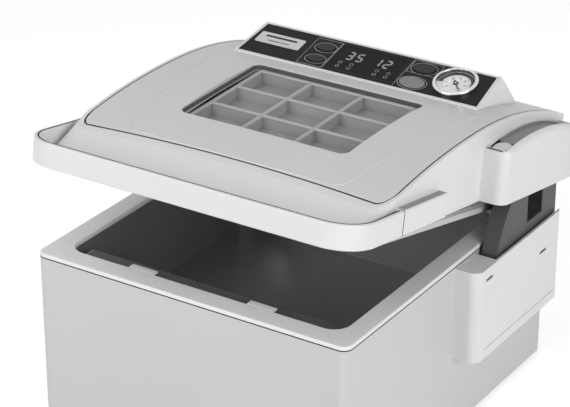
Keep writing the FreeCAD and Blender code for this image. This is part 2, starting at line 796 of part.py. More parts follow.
def arm_outline():
    low = at_angle(ARM_R, ARM_LOW_ANGLE)
    middle = at_angle(ARM_R, (ARM_LOW_ANGLE + ARM_HIGH_ANGLE) / 2)
    high = at_angle(ARM_R, ARM_HIGH_ANGLE)
    heel = from_rest(ARM_BEHIND, ARM_HEEL)
    rear_high = from_rest(ARM_BEHIND, ARM_RISE)
    neck = from_rest(ARM_NECK[0], ARM_NECK[1])
    knuckle = from_rest(ARM_KNUCKLE, 0.0)
    toe = from_rest(ARM_TOE[0], ARM_TOE[1])
    top_front = (high[0], ARM_TOP_Z)
    top_rear = (rear_high[0], ARM_TOP_Z)
    return side_outline(ARM_X0, low, (middle, high), top_front, top_rear, heel, neck, knuckle, toe)


def arm_bolt_places():
    z = ARM_TOP_Z - ARM_BOLT_DROP
    return ((HINGE_Y - ARM_BOLT_FRONT, z), (HINGE_Y - ARM_BOLT_REAR, z))


def hinge_arm():
    outline = arm_outline()
    arm = Part.Face(outline).extrude(V(ARM_T, 0, 0))
    pocket = outline.makeOffset2D(-ARM_WALL, 2)
    arm = arm.cut(Part.Face(pocket).extrude(V(ARM_T - ARM_WALL, 0, 0)))
    spring_room = SPRING_R + SPRING_WIRE_R + SLIDE_GAP
    arm = arm.cut(hinge_line(ARM_X0 - OVERCUT, ARM_BOSS_X0, spring_room))
    arm = arm.fuse(hinge_line(ARM_BOSS_X0, ARM_X1, ARM_BOSS_R))
    arm = arm.cut(hinge_line(ARM_X0 - OVERCUT, ARM_X1 + OVERCUT, PIN_R + RUN_GAP))
    for y, z in arm_bolt_places():
        arm = arm.fuse(rod(ARM_PAD_R, V(HALF_BODY, y, z), V(ARM_X1, y, z)))
        arm = arm.cut(rod(SCREW_R, V(HALF_BODY - OVERCUT, y, z), V(HALF_BODY + ARM_BOLT_GRIP, y, z)))
    recess = block(ARM_X1 - ARM_WALL / 2, ARM_X1 + OVERCUT, HINGE_Y - ARM_RECESS_FRONT,
                   HINGE_Y - ARM_RECESS_REAR, HINGE_Z + ARM_RECESS_LOW, HINGE_Z + ARM_RECESS_HIGH)
    return arm.cut(swing(recess, -LID_TILT)).removeSplitter()


def arm_bolts():
    bolts = []
    for y, z in arm_bolt_places():
        bolts.append(screw(V(LID_HALF - LID_WALL, y, z), X_DIR, LID_WALL + ARM_BOLT_GRIP))
    return bolts


def hinge_spring():
    helix = Part.makeHelix(SPRING_PITCH, SPRING_PITCH * SPRING_TURNS, SPRING_R)
    circle = Part.makeCircle(SPRING_WIRE_R, V(SPRING_R, 0, 0), Y_DIR)
    coil = Part.Wire(helix).makePipeShell([Part.Wire([circle])], True, False)
    coil = coil.rotated(V(0, 0, 0), Y_DIR, 90)
    return coil.translated(V(HALF_BODY + BRACKET_T + SPRING_WIRE_R, HINGE_Y, HINGE_Z))


# Lid casing, level


def lid_crowned(top_shift, bottom_z):
    """Block under the lid's crowned top, the top moved by top_shift and open past the front."""
    sections = []
    for x, crown in ((-LID_HALF, 0.0), (0.0, LID_CROWN), (LID_HALF, 0.0)):
        lift = top_shift + crown
        seam = (SEAM_FRONT[0], SEAM_FRONT[1] + lift)
        lead = (LID_FRONT_Y - TOP_OPEN, seam[1] - LID_TOP_LEAN * (seam[0] - LID_FRONT_Y + TOP_OPEN))
        bulge = (SEAM_BULGE[0], SEAM_BULGE[1] + lift)
        shoulder = (SEAM_SHOULDER[0], SEAM_SHOULDER[1] + lift)
        top = (SEAM_TOP[0], SEAM_TOP[1] + lift)
        rear = (LID_REAR_Y, SEAM_REAR_Z + lift)
        sections.append(side_outline(x, (lead[0], bottom_z), lead, seam, (bulge, shoulder), (top, rear),
                                     (rear[0], bottom_z)))
    return Part.makeLoft(sections, True)


def lid_walls(inset, front_step):
    """Space inside the lid's walls: upright up to the knee, then leaning back as the front does."""
    half = LID_HALF - inset
    slope = V(0, SEAM_FRONT[0] - LID_FRONT_Y, SEAM_FRONT[1] - LID_KNEE_Z)
    radius = max(LID_CORNER_R - inset, OVERCUT)
    low = front_rounded_block(half, LID_FRONT_Y + inset, FAR, -FAR, LID_KNEE_Z, radius)
    plan = front_rounded_block(half, LID_FRONT_Y + front_step, FAR, LID_KNEE_Z, FAR, radius)
    foot = [face for face in plan.Faces if face.BoundBox.ZMax < LID_KNEE_Z + NEAR][0]
    high = foot.extrude(slope * (WALL_REACH / slope.z))
    rear = block(-FAR, FAR, -FAR, LID_REAR_Y - inset, -FAR, FAR)
    return low.fuse(high).common(rear)


def lid_solid(inset, top_shift, bottom_z, front_step=None):
    """The lid's outer form, its walls moved in by inset and its top moved by top_shift."""
    step = inset if front_step is None else front_step
    return lid_crowned(top_shift, bottom_z).common(lid_walls(inset, step))


def true_step(wall):
    """Level step that gives the leaning front a wall of this true thickness."""
    run = SEAM_FRONT[0] - LID_FRONT_Y
    rise = SEAM_FRONT[1] - LID_KNEE_Z
    return wall * math.hypot(run, rise) / rise


def lid_frame():
    below = LID_BOTTOM_Z - OVERCUT
    frame = lid_solid(0, 0, LID_BOTTOM_Z)
    hollow = lid_solid(LID_WALL, TOP_OPEN, below, true_step(LID_WALL))
    seat = lid_solid(LID_WALL, TOP_OPEN, LID_BOTTOM_Z).cut(lid_crowned(-COVER_T, below))
    frame = frame.cut(hollow).cut(seat)
    ledge = lid_solid(LID_WALL / 2, -COVER_T, LID_BOTTOM_Z).cut(lid_crowned(-COVER_T - LEDGE_T, below))
    ledge_in = LID_WALL + LEDGE_W
    frame = frame.fuse(ledge.cut(lid_solid(ledge_in, TOP_OPEN, below, true_step(ledge_in))))
    for y, z in arm_bolt_places():
        frame = frame.cut(rod(SCREW_R + TRIM_GAP, V(-FAR, y, z), V(FAR, y, z)))
    return frame.removeSplitter()


def window_prism(grow, z0, z1):
    front = WINDOW_FRONT_W / 2 + grow
    back = WINDOW_BACK_W / 2 + grow
    corners = [V(-front, WINDOW_Y0 - grow, z0), V(front, WINDOW_Y0 - grow, z0), V(back, WINDOW_Y1 + grow, z0),
               V(-back, WINDOW_Y1 + grow, z0)]
    prism = Part.Face(Part.makePolygon(corners + corners[:1])).extrude(V(0, 0, z1 - z0))
    return prism.makeFillet(WINDOW_R + grow, edges_along(prism, Z_DIR))


def lid_top_cover():
    below = LID_BOTTOM_Z - OVERCUT
    inset = LID_WALL + SEAM_GAP
    thick = lid_solid(inset, 0, LID_BOTTOM_Z)
    cover = thick.cut(lid_crowned(-COVER_T, below))
    lip = thick.cut(lid_crowned(-COVER_T - WINDOW_LIP, below))
    lip = lip.common(window_prism(WINDOW_LIP_T, LID_BOTTOM_Z, FAR))
    cover = cover.fuse(lip).cut(window_prism(0, LID_BOTTOM_Z, FAR))
    half = PANEL_W / 2 - PANEL_OPENING_SIDE
    opening = block(-half, half, PANEL_FRONT[0] + PANEL_OPENING_FRONT, PANEL_BACK[0], LID_BOTTOM_Z, FAR)
    return cover.cut(opening).removeSplitter()


# Handle, level


def handle_plan(inset, z0, z1):
    return front_rounded_block(HANDLE_HALF - inset, HANDLE_FRONT_Y + inset, BLOCK_END_Y, z0, z1,
                               HANDLE_R - inset)


def handle_bar():
    low = HANDLE_LOW_Z - OVERCUT
    high = HANDLE_TOP_Z + OVERCUT
    bar = handle_plan(0, HANDLE_LOW_Z, HANDLE_TOP_Z).cut(handle_plan(HANDLE_T, low, high))
    bar = bar.cut(block(-FAR, FAR, HANDLE_END_Y, FAR, low, high))
    rims = [edge for edge in bar.Edges
            if edge.BoundBox.ZLength < NEAR and edge.BoundBox.YMin < HANDLE_END_Y - NEAR]
    return bar.makeFillet(HANDLE_EDGE_R, rims)


def handle_end_block():
    end = block(LID_HALF, HANDLE_HALF, HANDLE_END_Y, BLOCK_END_Y, HANDLE_LOW_Z, HANDLE_TOP_Z)
    outer = [edge for edge in end.Edges
             if edge.BoundBox.XMin > HANDLE_HALF - NEAR and edge.BoundBox.YMax > HANDLE_END_Y + NEAR]
    return end.makeFillet(HANDLE_EDGE_R, outer)


# Hinge cover on the right flank, level


def hood_outline(x, inset, drop=0.0):
    """Side view of a hinge cover, its sides and top moved in by inset and its bottom moved down by drop."""
    low = HOOD_BOTTOM_Z - drop
    front = HOOD_FRONT_Y + inset
    rear = HOOD_REAR_Y - inset
    arc = ((HOOD_TOP[0], HOOD_TOP[1] - inset), (rear, HOOD_REAR_Z - inset))
    return side_outline(x, (front, low), (front, HOOD_FRONT_Z - inset), arc, (rear, low))


def hood_block(x0, x1, inset, drop=0.0):
    return Part.Face(hood_outline(x0, inset, drop)).extrude(V(x1 - x0, 0, 0))


def groove_step(x0, x1):
    """Solid that stays under the front end of a hinge cover's groove."""
    high = HOOD_FRONT_Z - GROOVE_DEPTH
    return block(x0, x1, HOOD_FRONT_Y, HOOD_FRONT_Y + GROOVE_DEPTH, HOOD_BOTTOM_Z, high)


def hinge_cover():
    hood = hood_block(LID_HALF, HOOD_X1, 0)
    hood = hood.makeFillet(HOOD_FRONT_R, outer_edge(hood, HOOD_X1, HOOD_FRONT_Y))
    top = [edge for edge in hood.Edges
           if edge.BoundBox.XMax > HOOD_X1 - NEAR and edge.BoundBox.ZMin > HOOD_REAR_Z - OVERCUT]
    hood = hood.makeFillet(HOOD_EDGE_R, top)
    x0 = LID_HALF + GROOVE_INSET
    x1 = x0 + GROOVE_W
    y0 = HOOD_FRONT_Y + GROOVE_FRONT
    groove = block(x0, x1, y0, HOOD_REAR_Y - GROOVE_END, HOOD_REAR_Z - GROOVE_REACH,
                   HOOD_TOP[1] + OVERCUT)
    groove = groove.cut(hood_block(x0, x1, GROOVE_DEPTH))
    groove = groove.cut(groove_step(x0, x1))
    space = hood_block(LID_HALF - OVERCUT, HOOD_X1 - HOOD_WALL, HOOD_WALL + GROOVE_DEPTH, OVERCUT)
    return hood.cut(groove).cut(space).removeSplitter()


def hood_plug():
    """Pill-shaped plug that lies at the front of the hinge cover's groove."""
    x = LID_HALF + GROOVE_INSET + GROOVE_W / 2
    y0 = HOOD_FRONT_Y + GROOVE_FRONT + PLUG_SET
    y1 = y0 + PLUG_L - PLUG_W
    z0 = HOOD_FRONT_Z - GROOVE_DEPTH - PLUG_H
    height = 2 * PLUG_H
    pill = block(x - PLUG_W / 2, x + PLUG_W / 2, y0, y1, z0, z0 + height)
    pill = pill.fuse([Part.makeCylinder(PLUG_W / 2, height, V(x, y, z0)) for y in (y0, y1)])
    pill = pill.removeSplitter()
    rim = [edge for edge in pill.Edges if edge.BoundBox.ZMin > z0 + height - NEAR]
    pill = pill.makeFillet(PLUG_EDGE_R, rim).rotated(V(x, y0, z0 + PLUG_H), X_DIR, PLUG_LEAN)
    pill = pill.cut(hood_block(x - PLUG_W, x + PLUG_W, GROOVE_DEPTH))
    return pill.cut(groove_step(x - PLUG_W, x + PLUG_W))


# Pressure lid and seals


def pressure_profile(x, inset, drop=0.0):
    """Side view of the clear lid, its lower edge on the gasket plane and moved down by drop."""
    front, front_low = shut_to_level(CHAMBER_FRONT - GASKET_OUT + inset, FLANGE_Z)
    rear, rear_low = shut_to_level(CHAMBER_REAR + GASKET_OUT - inset, FLANGE_Z)
    roof = [(front, PRESSURE_FRONT_Z), PRESSURE_KNEE, RIB_FRONT, RIB_BACK, (rear, RIB_BACK[1])]
    roof = [(y, z - inset) for y, z in roof]
    return side_outline(x, (front, front_low - drop), *roof, (rear, rear_low - drop))


def pressure_space(drop):
    half = PRESSURE_HALF - PRESSURE_WALL
    return Part.Face(pressure_profile(-half, PRESSURE_WALL, drop)).extrude(V(2 * half, 0, 0))


def rib_line(y):
    share = (y - RIB_FRONT[0]) / (RIB_BACK[0] - RIB_FRONT[0])
    return RIB_FRONT[1] + share * (RIB_BACK[1] - RIB_FRONT[1])


def rib_slab(x0, x1, y0, y1):
    return side_prism(x0, x1, (y0, rib_line(y0) - RIB_SINK), (y0, rib_line(y0) + RIB_H),
                      (y1, rib_line(y1) + RIB_H), (y1, rib_line(y1) - RIB_SINK))


def pressure_ribs():
    x_pitch = (2 * RIB_HALF - RIB_T) / RIB_CELLS
    y_pitch = (RIB_BACK[0] - RIB_FRONT[0] - RIB_T) / RIB_CELLS
    ribs = []
    for step in range(RIB_CELLS + 1):
        x = -RIB_HALF + step * x_pitch
        y = RIB_FRONT[0] + step * y_pitch
        ribs.append(rib_slab(x, x + RIB_T, RIB_FRONT[0], RIB_BACK[0]))
        ribs.append(rib_slab(-RIB_HALF, RIB_HALF, y, y + RIB_T))
    return ribs


def pressure_posts():
    """Posts that hold the clear lid up against the underside of the top cover."""
    posts = []
    for x in (-POST_X, POST_X):
        for y in (WINDOW_Y0 - POST_INSETS[0], WINDOW_Y1 - POST_INSETS[1]):
            post = Part.makeCylinder(POST_R, FAR, V(x, y, min(rib_line(y), RIB_BACK[1]) - PRESSURE_WALL))
            posts.append(post.common(lid_crowned(-COVER_T, LID_BOTTOM_Z)))
    return posts


def flange_ring(z0, z1):
    """Ring over the chamber rim, in the shut position."""
    outer_half = CHAMBER_W / 2 + GASKET_OUT
    inner_half = outer_half - GASKET_W
    front = CHAMBER_FRONT - GASKET_OUT
    rear = CHAMBER_REAR + GASKET_OUT
    outer = rounded_block(-outer_half, outer_half, front, rear, z0, z1, GASKET_R)
    inner = rounded_block(-inner_half, inner_half, front + GASKET_W, rear - GASKET_W, z0 - OVERCUT,
                          z1 + OVERCUT, GASKET_R - GASKET_W)
    return outer.cut(inner)


def pressure_lid():
    shell = Part.Face(pressure_profile(-PRESSURE_HALF, 0)).extrude(V(2 * PRESSURE_HALF, 0, 0))
    space = pressure_space(OVERCUT)
    flange = swing(flange_ring(FLANGE_Z, FLANGE_Z + FLANGE_T), LID_RAKE)
    return shell.fuse(pressure_posts()).cut(space).fuse(pressure_ribs() + [flange]).removeSplitter()


def lid_gasket():
    return flange_ring(GASKET_Z, FLANGE_Z)


def seal_pad():
    pad = block(-PAD_HALF, PAD_HALF, BAR_Y - PAD_W / 2, BAR_Y + PAD_W / 2, PAD_Z, PAD_Z + PAD_H)
    lower = [edge for edge in edges_along(pad, X_DIR) if edge.BoundBox.ZMax < PAD_Z + NEAR]
    return pad.makeFillet(PAD_EDGE_R, lower)


def pad_holder():
    """Bar that hangs under the clear lid and carries the pad, in the shut position."""
    z0 = PAD_Z + PAD_H
    bar = block(-PAD_HALF, PAD_HALF, BAR_Y - HOLDER_W / 2, BAR_Y + HOLDER_W / 2, z0, z0 + HOLDER_REACH)
    return bar.common(swing(pressure_space(HOLDER_REACH), -LID_RAKE))


# Control panel


def panel_solid(inset):
    """Wedge of the control panel, its walls moved in by inset."""
    half = PANEL_W / 2 - inset
    turn = math.radians(PANEL_SLOPE)
    front = PANEL_FRONT[0] + inset
    back = PANEL_BACK[0] - inset
    sink = inset / math.cos(turn)
    low = PANEL_FRONT[1] - PANEL_SKIRT
    wedge = side_prism(-half, half, (front, low), (front, PANEL_FRONT[1] + inset * math.tan(turn) - sink),
                       (back, PANEL_BACK[1] - inset * math.tan(turn) - sink), (PANEL_REAR_Y - inset, low))
    lean = math.degrees(math.atan2(PANEL_LEAN, PANEL_RISE))
    knife = block(0, FAR, 0, FAR, -PANEL_SKIRT * 2, FAR).rotated(V(0, 0, 0), Y_DIR, -lean)
    knife = knife.translated(V(half, 0, PANEL_FRONT[1]))
    return wedge.cut(knife).cut(mirrored(knife))


def panel_openings(depth):
    cuts = []
    for centre, size in BUTTONS.values():
        cuts.append(on_panel(oval(centre, size, -depth, HOLE_REACH, SLIDE_GAP)))
    cuts.append(on_panel(rod(GAUGE_CASE_R + SLIDE_GAP, gauge_axis(-depth), gauge_axis(HOLE_REACH))))
    return Part.makeCompound(cuts)


def panel_plate(centre, size, z0, z1, grow=0.0):
    half_w = size[0] / 2 + grow
    half_h = size[1] / 2 + grow
    return block(centre[0] - half_w, centre[0] + half_w, centre[1] - half_h, centre[1] + half_h, z0, z1)


def overlay_slab(grow):
    """Black face of the panel, narrower at its back edge as the housing leans in."""
    border = OVERLAY_BORDER - grow
    front = PANEL_W / 2 - border
    back = PANEL_W / 2 - PANEL_LEAN - border
    z0 = -OVERLAY_T
    corners = [V(-front, border, z0), V(front, border, z0), V(back, PANEL_LEN - border, z0),
               V(-back, PANEL_LEN - border, z0)]
    return Part.Face(Part.makePolygon(corners + corners[:1])).extrude(V(0, 0, OVERLAY_T + grow))


def panel_housing():
    outer = panel_solid(0).cut(lid_crowned(0, LID_BOTTOM_Z))
    top_edges = [edge for edge in outer.Edges if edge.BoundBox.ZMin > PANEL_FRONT[1] + TRIM_GAP * 2]
    outer = outer.makeFillet(PANEL_EDGE_R, top_edges)
    housing = outer.cut(panel_solid(PANEL_WALL)).cut(on_panel(overlay_slab(TRIM_GAP)))
    return housing.cut(panel_openings(GAUGE_DEPTH)).removeSplitter()


def panel_overlay():
    plate = on_panel(overlay_slab(0)).cut(panel_openings(GAUGE_DEPTH))
    pocket = panel_plate(DISPLAY_AT, DISPLAY_SIZE, -DISPLAY_SINK, HOLE_REACH, TRIM_GAP)
    return plate.cut(on_panel(pocket)).removeSplitter()


def display_lens():
    return on_panel(panel_plate(DISPLAY_AT, DISPLAY_SIZE, -DISPLAY_SINK, -DISPLAY_SINK + DISPLAY_T))


def label_plate():
    plate = panel_plate(LABEL_AT, LABEL_SIZE, 0, LABEL_T)
    return on_panel(plate.makeFillet(LABEL_R, edges_along(plate, Z_DIR)))


def panel_button(centre, size):
    cap = oval(centre, size, BUTTON_LOW, BUTTON_PROUD)
    crown = [edge for edge in cap.Edges if edge.BoundBox.ZMin > BUTTON_PROUD - NEAR]
    cap = cap.makeFillet(BUTTON_CROWN_R, crown)
    flange = oval(centre, size, BUTTON_LOW - BUTTON_FLANGE_T, BUTTON_LOW, BUTTON_FLANGE)
    return on_panel(cap.fuse(flange).removeSplitter())


def gauge_axis(z):
    return V(GAUGE_AT[0], GAUGE_AT[1], z)


def gauge_case():
    """Can with its bright ring and the pin that carries the needle."""
    can = rod(GAUGE_CASE_R, gauge_axis(-GAUGE_DEPTH), gauge_axis(0))
    ring = rod(GAUGE_R, gauge_axis(0), gauge_axis(GAUGE_PROUD))
    rim = [edge for edge in ring.Edges if edge.BoundBox.ZMin > GAUGE_PROUD - NEAR]
    case = can.fuse(ring.makeFillet(GAUGE_RING_R, rim))
    space = rod(GAUGE_R - GAUGE_RING, gauge_axis(-GAUGE_SINK), gauge_axis(GAUGE_PROUD + OVERCUT))
    pin_top = NEEDLE_LIFT + NEEDLE_T + NEEDLE_PIN_OVER
    pin = rod(NEEDLE_PIN_R, gauge_axis(-GAUGE_SINK - OVERCUT), gauge_axis(pin_top))
    return on_panel(case.cut(space).fuse(pin).removeSplitter())


def gauge_dial():
    dial = rod(GAUGE_R - GAUGE_RING, gauge_axis(-GAUGE_SINK), gauge_axis(-GAUGE_SINK + DIAL_T))
    return on_panel(dial.cut(rod(NEEDLE_PIN_R + SLIDE_GAP, gauge_axis(-GAUGE_SINK), gauge_axis(OVERCUT))))


def gauge_needle():
    tip = V(NEEDLE_L, 0, NEEDLE_LIFT)
    tail = V(-NEEDLE_TAIL, NEEDLE_W / 2, NEEDLE_LIFT)
    low_tail = V(-NEEDLE_TAIL, -NEEDLE_W / 2, NEEDLE_LIFT)
    needle = Part.Face(Part.makePolygon([tip, tail, low_tail, tip])).extrude(V(0, 0, NEEDLE_T))
    needle = needle.fuse(Part.makeCylinder(NEEDLE_HUB_R, NEEDLE_T, V(0, 0, NEEDLE_LIFT)))
    needle = needle.cut(Part.makeCylinder(NEEDLE_PIN_R + RUN_GAP, HOLE_REACH))
    needle = needle.rotated(V(0, 0, 0), Z_DIR, NEEDLE_ANGLE).translated(gauge_axis(0))
    return on_panel(needle)


def gauge_glass():
    top = GAUGE_PROUD - GLASS_SINK
    return on_panel(rod(GAUGE_R - GAUGE_RING, gauge_axis(top - GLASS_T), gauge_axis(top)))


def control_board():
    """Board under the panel face with one switch below each button."""
    low = -BOARD_DROP - BOARD_T
    board = block(BOARD_X0, BOARD_X1, BOARD_FRONT, PANEL_LEN - BOARD_BACK, low, low + BOARD_T)
    switch_top = BUTTON_LOW - BUTTON_FLANGE_T - BUTTON_TRAVEL - SWITCH_GAP
    for centre, size in BUTTONS.values():
        board = board.fuse(panel_plate(centre, (SWITCH_W, SWITCH_W), low, switch_top))
    for x in (-BOARD_POST_X, BOARD_POST_X):
        board = board.fuse(rod(STANDOFF_R, V(x, PANEL_LEN / 2, low), V(x, PANEL_LEN / 2, -PANEL_WALL)))
    return on_panel(board.removeSplitter())


# Pieces inside the cabinet


def pump_mounts():
    mounts = []
    for x in (PUMP_X0 + MOUNT_INSET, MOTOR_X1 - MOUNT_INSET):
        for y in (PUMP_Y - MOUNT_SPACING / 2, PUMP_Y + MOUNT_SPACING / 2):
            mounts.append(Part.makeCylinder(MOUNT_R, MOUNT_H, V(x, y, BASE_T)))
    return Part.makeCompound(mounts)


def pump_head():
    y0 = PUMP_Y - PUMP_D / 2
    y1 = PUMP_Y + PUMP_D / 2
    top = PUMP_Z0 + PUMP_H
    head = block(PUMP_X0, PUMP_X0 + PUMP_L, y0, y1, PUMP_Z0, top)
    head = head.makeFillet(PUMP_EDGE_R, edges_along(head, X_DIR))
    for step in range(PUMP_FINS):
        x = PUMP_X0 + PUMP_FIN_SET + step * PUMP_FIN_PITCH
        head = head.cut(block(x, x + PUMP_FIN_GAP, y0 - OVERCUT, y1 + OVERCUT, top - PUMP_FIN_DEPTH,
                              top + OVERCUT))
    inlet = hose_end()
    return head.fuse(rod(PORT_R, V(inlet.x, y1 - OVERCUT, inlet.z), inlet)).removeSplitter()


def hose_end():
    return V(PORT_X, PUMP_Y + PUMP_D / 2 + PUMP_SPIGOT, MOTOR_Z)


def motor_line(x0, x1, radius):
    return rod(radius, V(x0, PUMP_Y, MOTOR_Z), V(x1, PUMP_Y, MOTOR_Z))


def pump_motor():
    cradle = block(MOTOR_X0 + CRADLE_INSET, MOTOR_X1 - CRADLE_INSET, PUMP_Y - MOTOR_R, PUMP_Y + MOTOR_R,
                   PUMP_Z0, PUMP_Z0 + CRADLE_H)
    motor = motor_line(MOTOR_X0, MOTOR_X1, MOTOR_R).fuse(cradle)
    bore = motor_line(MOTOR_X1 - SHAFT_SEAT, MOTOR_X1 + OVERCUT, SHAFT_R + RUN_GAP)
    return motor.cut(bore).removeSplitter()


def motor_shaft():
    return motor_line(MOTOR_X1 - SHAFT_SEAT + SLIDE_GAP, MOTOR_X1 + SHAFT_OUT, SHAFT_R)


def motor_fan():
    x1 = MOTOR_X1 + SHAFT_OUT - SHAFT_TIP
    x0 = x1 - FAN_W
    wheel = motor_line(x0, x1, FAN_HUB_R)
    for step in range(FAN_BLADES):
        blade = block(-BLADE_T / 2, BLADE_T / 2, -BLADE_W / 2, BLADE_W / 2, FAN_HUB_R - BLADE_ROOT, FAN_R)
        blade = blade.rotated(V(0, 0, 0), Z_DIR, BLADE_TWIST)
        blade = blade.rotated(V(0, 0, 0), X_DIR, step * 360 / FAN_BLADES)
        wheel = wheel.fuse(blade.translated(V((x0 + x1) / 2, PUMP_Y, MOTOR_Z)))
    return wheel.cut(motor_line(x0 - OVERCUT, x1 + OVERCUT, SHAFT_R)).removeSplitter()


def core_windows():
    """The core's two windows, on either side of its middle limb."""
    for side in (-1, 1):
        y = CORE_Y + side * CORE_D / 4
        half = CORE_WINDOW / 2
        yield block(CORE_X - CORE_L, CORE_X + CORE_L, y - half, y + half, BASE_T + CORE_YOKE,
                    BASE_T + CORE_H - CORE_YOKE)


def transformer_core():
    core = block(CORE_X - CORE_L / 2, CORE_X + CORE_L / 2, CORE_Y - CORE_D / 2, CORE_Y + CORE_D / 2, BASE_T,
                 BASE_T + CORE_H)
    for window in core_windows():
        core = core.cut(window)
    return core


def transformer_coil():
    half_x = CORE_L / 2 + COIL_OVER
    half_y = CORE_D / 4 + CORE_WINDOW / 2 - SLIDE_GAP
    limb_y = CORE_D / 4 - CORE_WINDOW / 2
    z0 = BASE_T + CORE_YOKE
    z1 = BASE_T + CORE_H - CORE_YOKE
    coil = block(CORE_X - half_x, CORE_X + half_x, CORE_Y - half_y, CORE_Y + half_y, z0, z1)
    coil = coil.makeFillet(COIL_R, edges_along(coil, Z_DIR))
    return coil.cut(block(CORE_X - CORE_L / 2, CORE_X + CORE_L / 2, CORE_Y - limb_y, CORE_Y + limb_y, z0, z1))


def vacuum_port():
    """Flanged elbow through the chamber's back wall, its outlet pointing down."""
    corner = V(PORT_X, CHAMBER_REAR + PORT_BACK, PORT_Z)
    outlet = corner - Z_DIR * PORT_DROP
    mouth = V(PORT_X, CHAMBER_REAR - PORT_FLANGE_T, PORT_Z)
    flange = rod(PORT_FLANGE_R, mouth, V(PORT_X, CHAMBER_REAR, PORT_Z))
    pipe = rod(PORT_R, mouth, corner).fuse([Part.makeSphere(PORT_R, corner), rod(PORT_R, outlet, corner)])
    bore = rod(PORT_BORE_R, mouth - Y_DIR, corner)
    bore = bore.fuse([Part.makeSphere(PORT_BORE_R, corner), rod(PORT_BORE_R, outlet - Z_DIR, corner)])
    return flange.fuse(pipe).cut(bore).removeSplitter()


def vacuum_hose():
    """Bent tube from the port's outlet down and forward to the pump."""
    top = V(PORT_X, CHAMBER_REAR + PORT_BACK, PORT_Z - PORT_DROP)
    end = hose_end()
    centre = V(PORT_X, top.y - HOSE_BEND_R, end.z + HOSE_BEND_R)
    mid = math.sqrt(0.5) * HOSE_BEND_R
    bend_in = V(PORT_X, top.y, centre.z)
    bend_mid = V(PORT_X, centre.y + mid, centre.z - mid)
    bend_out = V(PORT_X, centre.y, end.z)
    path = Part.Wire([Part.makeLine(top, bend_in), Part.Arc(bend_in, bend_mid, bend_out).toShape(),
                      Part.makeLine(bend_out, end)])
    tubes = []
    for radius in (PORT_BORE_R + HOSE_WALL, PORT_BORE_R):
        section = Part.Wire([Part.makeCircle(radius, top, Z_DIR)])
        tubes.append(path.makePipeShell([section], True, False))
    return tubes[0].cut(tubes[1])


def release_valve():
    y0 = CHAMBER_REAR + CHAMBER_WALL
    top = VALVE_Z + VALVE_H
    body = block(VALVE_X, VALVE_X + VALVE_L, y0, y0 + VALVE_D, VALVE_Z, top)
    coil = Part.makeCylinder(VALVE_COIL_R, VALVE_COIL_H, V(VALVE_X + VALVE_L / 2, y0 + VALVE_D / 2, top))
    return body.fuse(coil).removeSplitter()


def power_board():
    y0 = BODY_D - BODY_WALL - STANDOFF_L - BOARD_T
    x0 = CIRCUIT_X - CIRCUIT_W / 2
    board = block(x0, x0 + CIRCUIT_W, y0, y0 + BOARD_T, CIRCUIT_Z, CIRCUIT_Z + CIRCUIT_H)
    for right, up, width, depth, height in (RELAY, FILTER):
        z0 = CIRCUIT_Z + up
        board = board.fuse(block(x0 + right, x0 + right + width, y0 - depth, y0, z0, z0 + height))
    for right in CAPACITOR_XS:
        z = CIRCUIT_Z + CAPACITOR_Z
        board = board.fuse(rod(CAPACITOR_R, V(x0 + right, y0 - CAPACITOR_L, z), V(x0 + right, y0, z)))
    return board.removeSplitter()


def board_standoffs():
    y1 = BODY_D - BODY_WALL
    half = CIRCUIT_W / 2 - STANDOFF_INSET
    posts = []
    for x in (CIRCUIT_X - half, CIRCUIT_X + half):
        for z in (CIRCUIT_Z + STANDOFF_INSET, CIRCUIT_Z + CIRCUIT_H - STANDOFF_INSET):
            posts.append(rod(STANDOFF_R, V(x, y1 - STANDOFF_L, z), V(x, y1, z)))
    return Part.makeCompound(posts)


def inlet_block(half_w, half_h, y0, y1):
    return block(INLET_X - half_w, INLET_X + half_w, y0, y1, INLET_Z - half_h, INLET_Z + half_h)


def power_inlet():
    """Three-pole mains socket, its mouth in the cabinet's back."""
    y1 = BODY_D + INLET_FLANGE_T
    floor = y1 - INLET_DEPTH
    shell = inlet_block(INLET_W / 2, INLET_H / 2, floor - INLET_WALL, y1)
    flange = inlet_block(INLET_FLANGE_W / 2, INLET_FLANGE_H / 2, BODY_D, y1)
    flange = flange.makeFillet(INLET_FLANGE_R, edges_along(flange, Y_DIR))
    socket = inlet_block(INLET_W / 2 - INLET_WALL, INLET_H / 2 - INLET_WALL, floor, y1 + OVERCUT)
    inlet = shell.fuse(flange).cut(socket)
    for step, lift in zip((-1, 0, 1), INLET_PIN_LIFTS):
        x = INLET_X + step * INLET_PIN_PITCH
        z = INLET_Z + lift
        inlet = inlet.fuse(block(x - INLET_PIN_W / 2, x + INLET_PIN_W / 2, floor - OVERCUT,
                                 floor + INLET_PIN_L, z - INLET_PIN_H / 2, z + INLET_PIN_H / 2))
    return inlet.removeSplitter()


def base_screws():
    screws = [screw(V(x, y, 0), Z_DIR, BASE_SCREW_L) for x, y in base_screw_places()]
    return Part.makeCompound(screws)


def lid_switch():
    """Switch in the front of the right hinge box that tells when the lid is shut."""
    width, depth, height = SWITCH_BODY
    y0 = BOX_Y0 + BOX_WALL + SWITCH_BODY_SET
    z0 = HINGE_Z - SWITCH_BODY_DROP
    return block(HALF_BODY, HALF_BODY + width, y0, y0 + depth, z0, z0 + height)


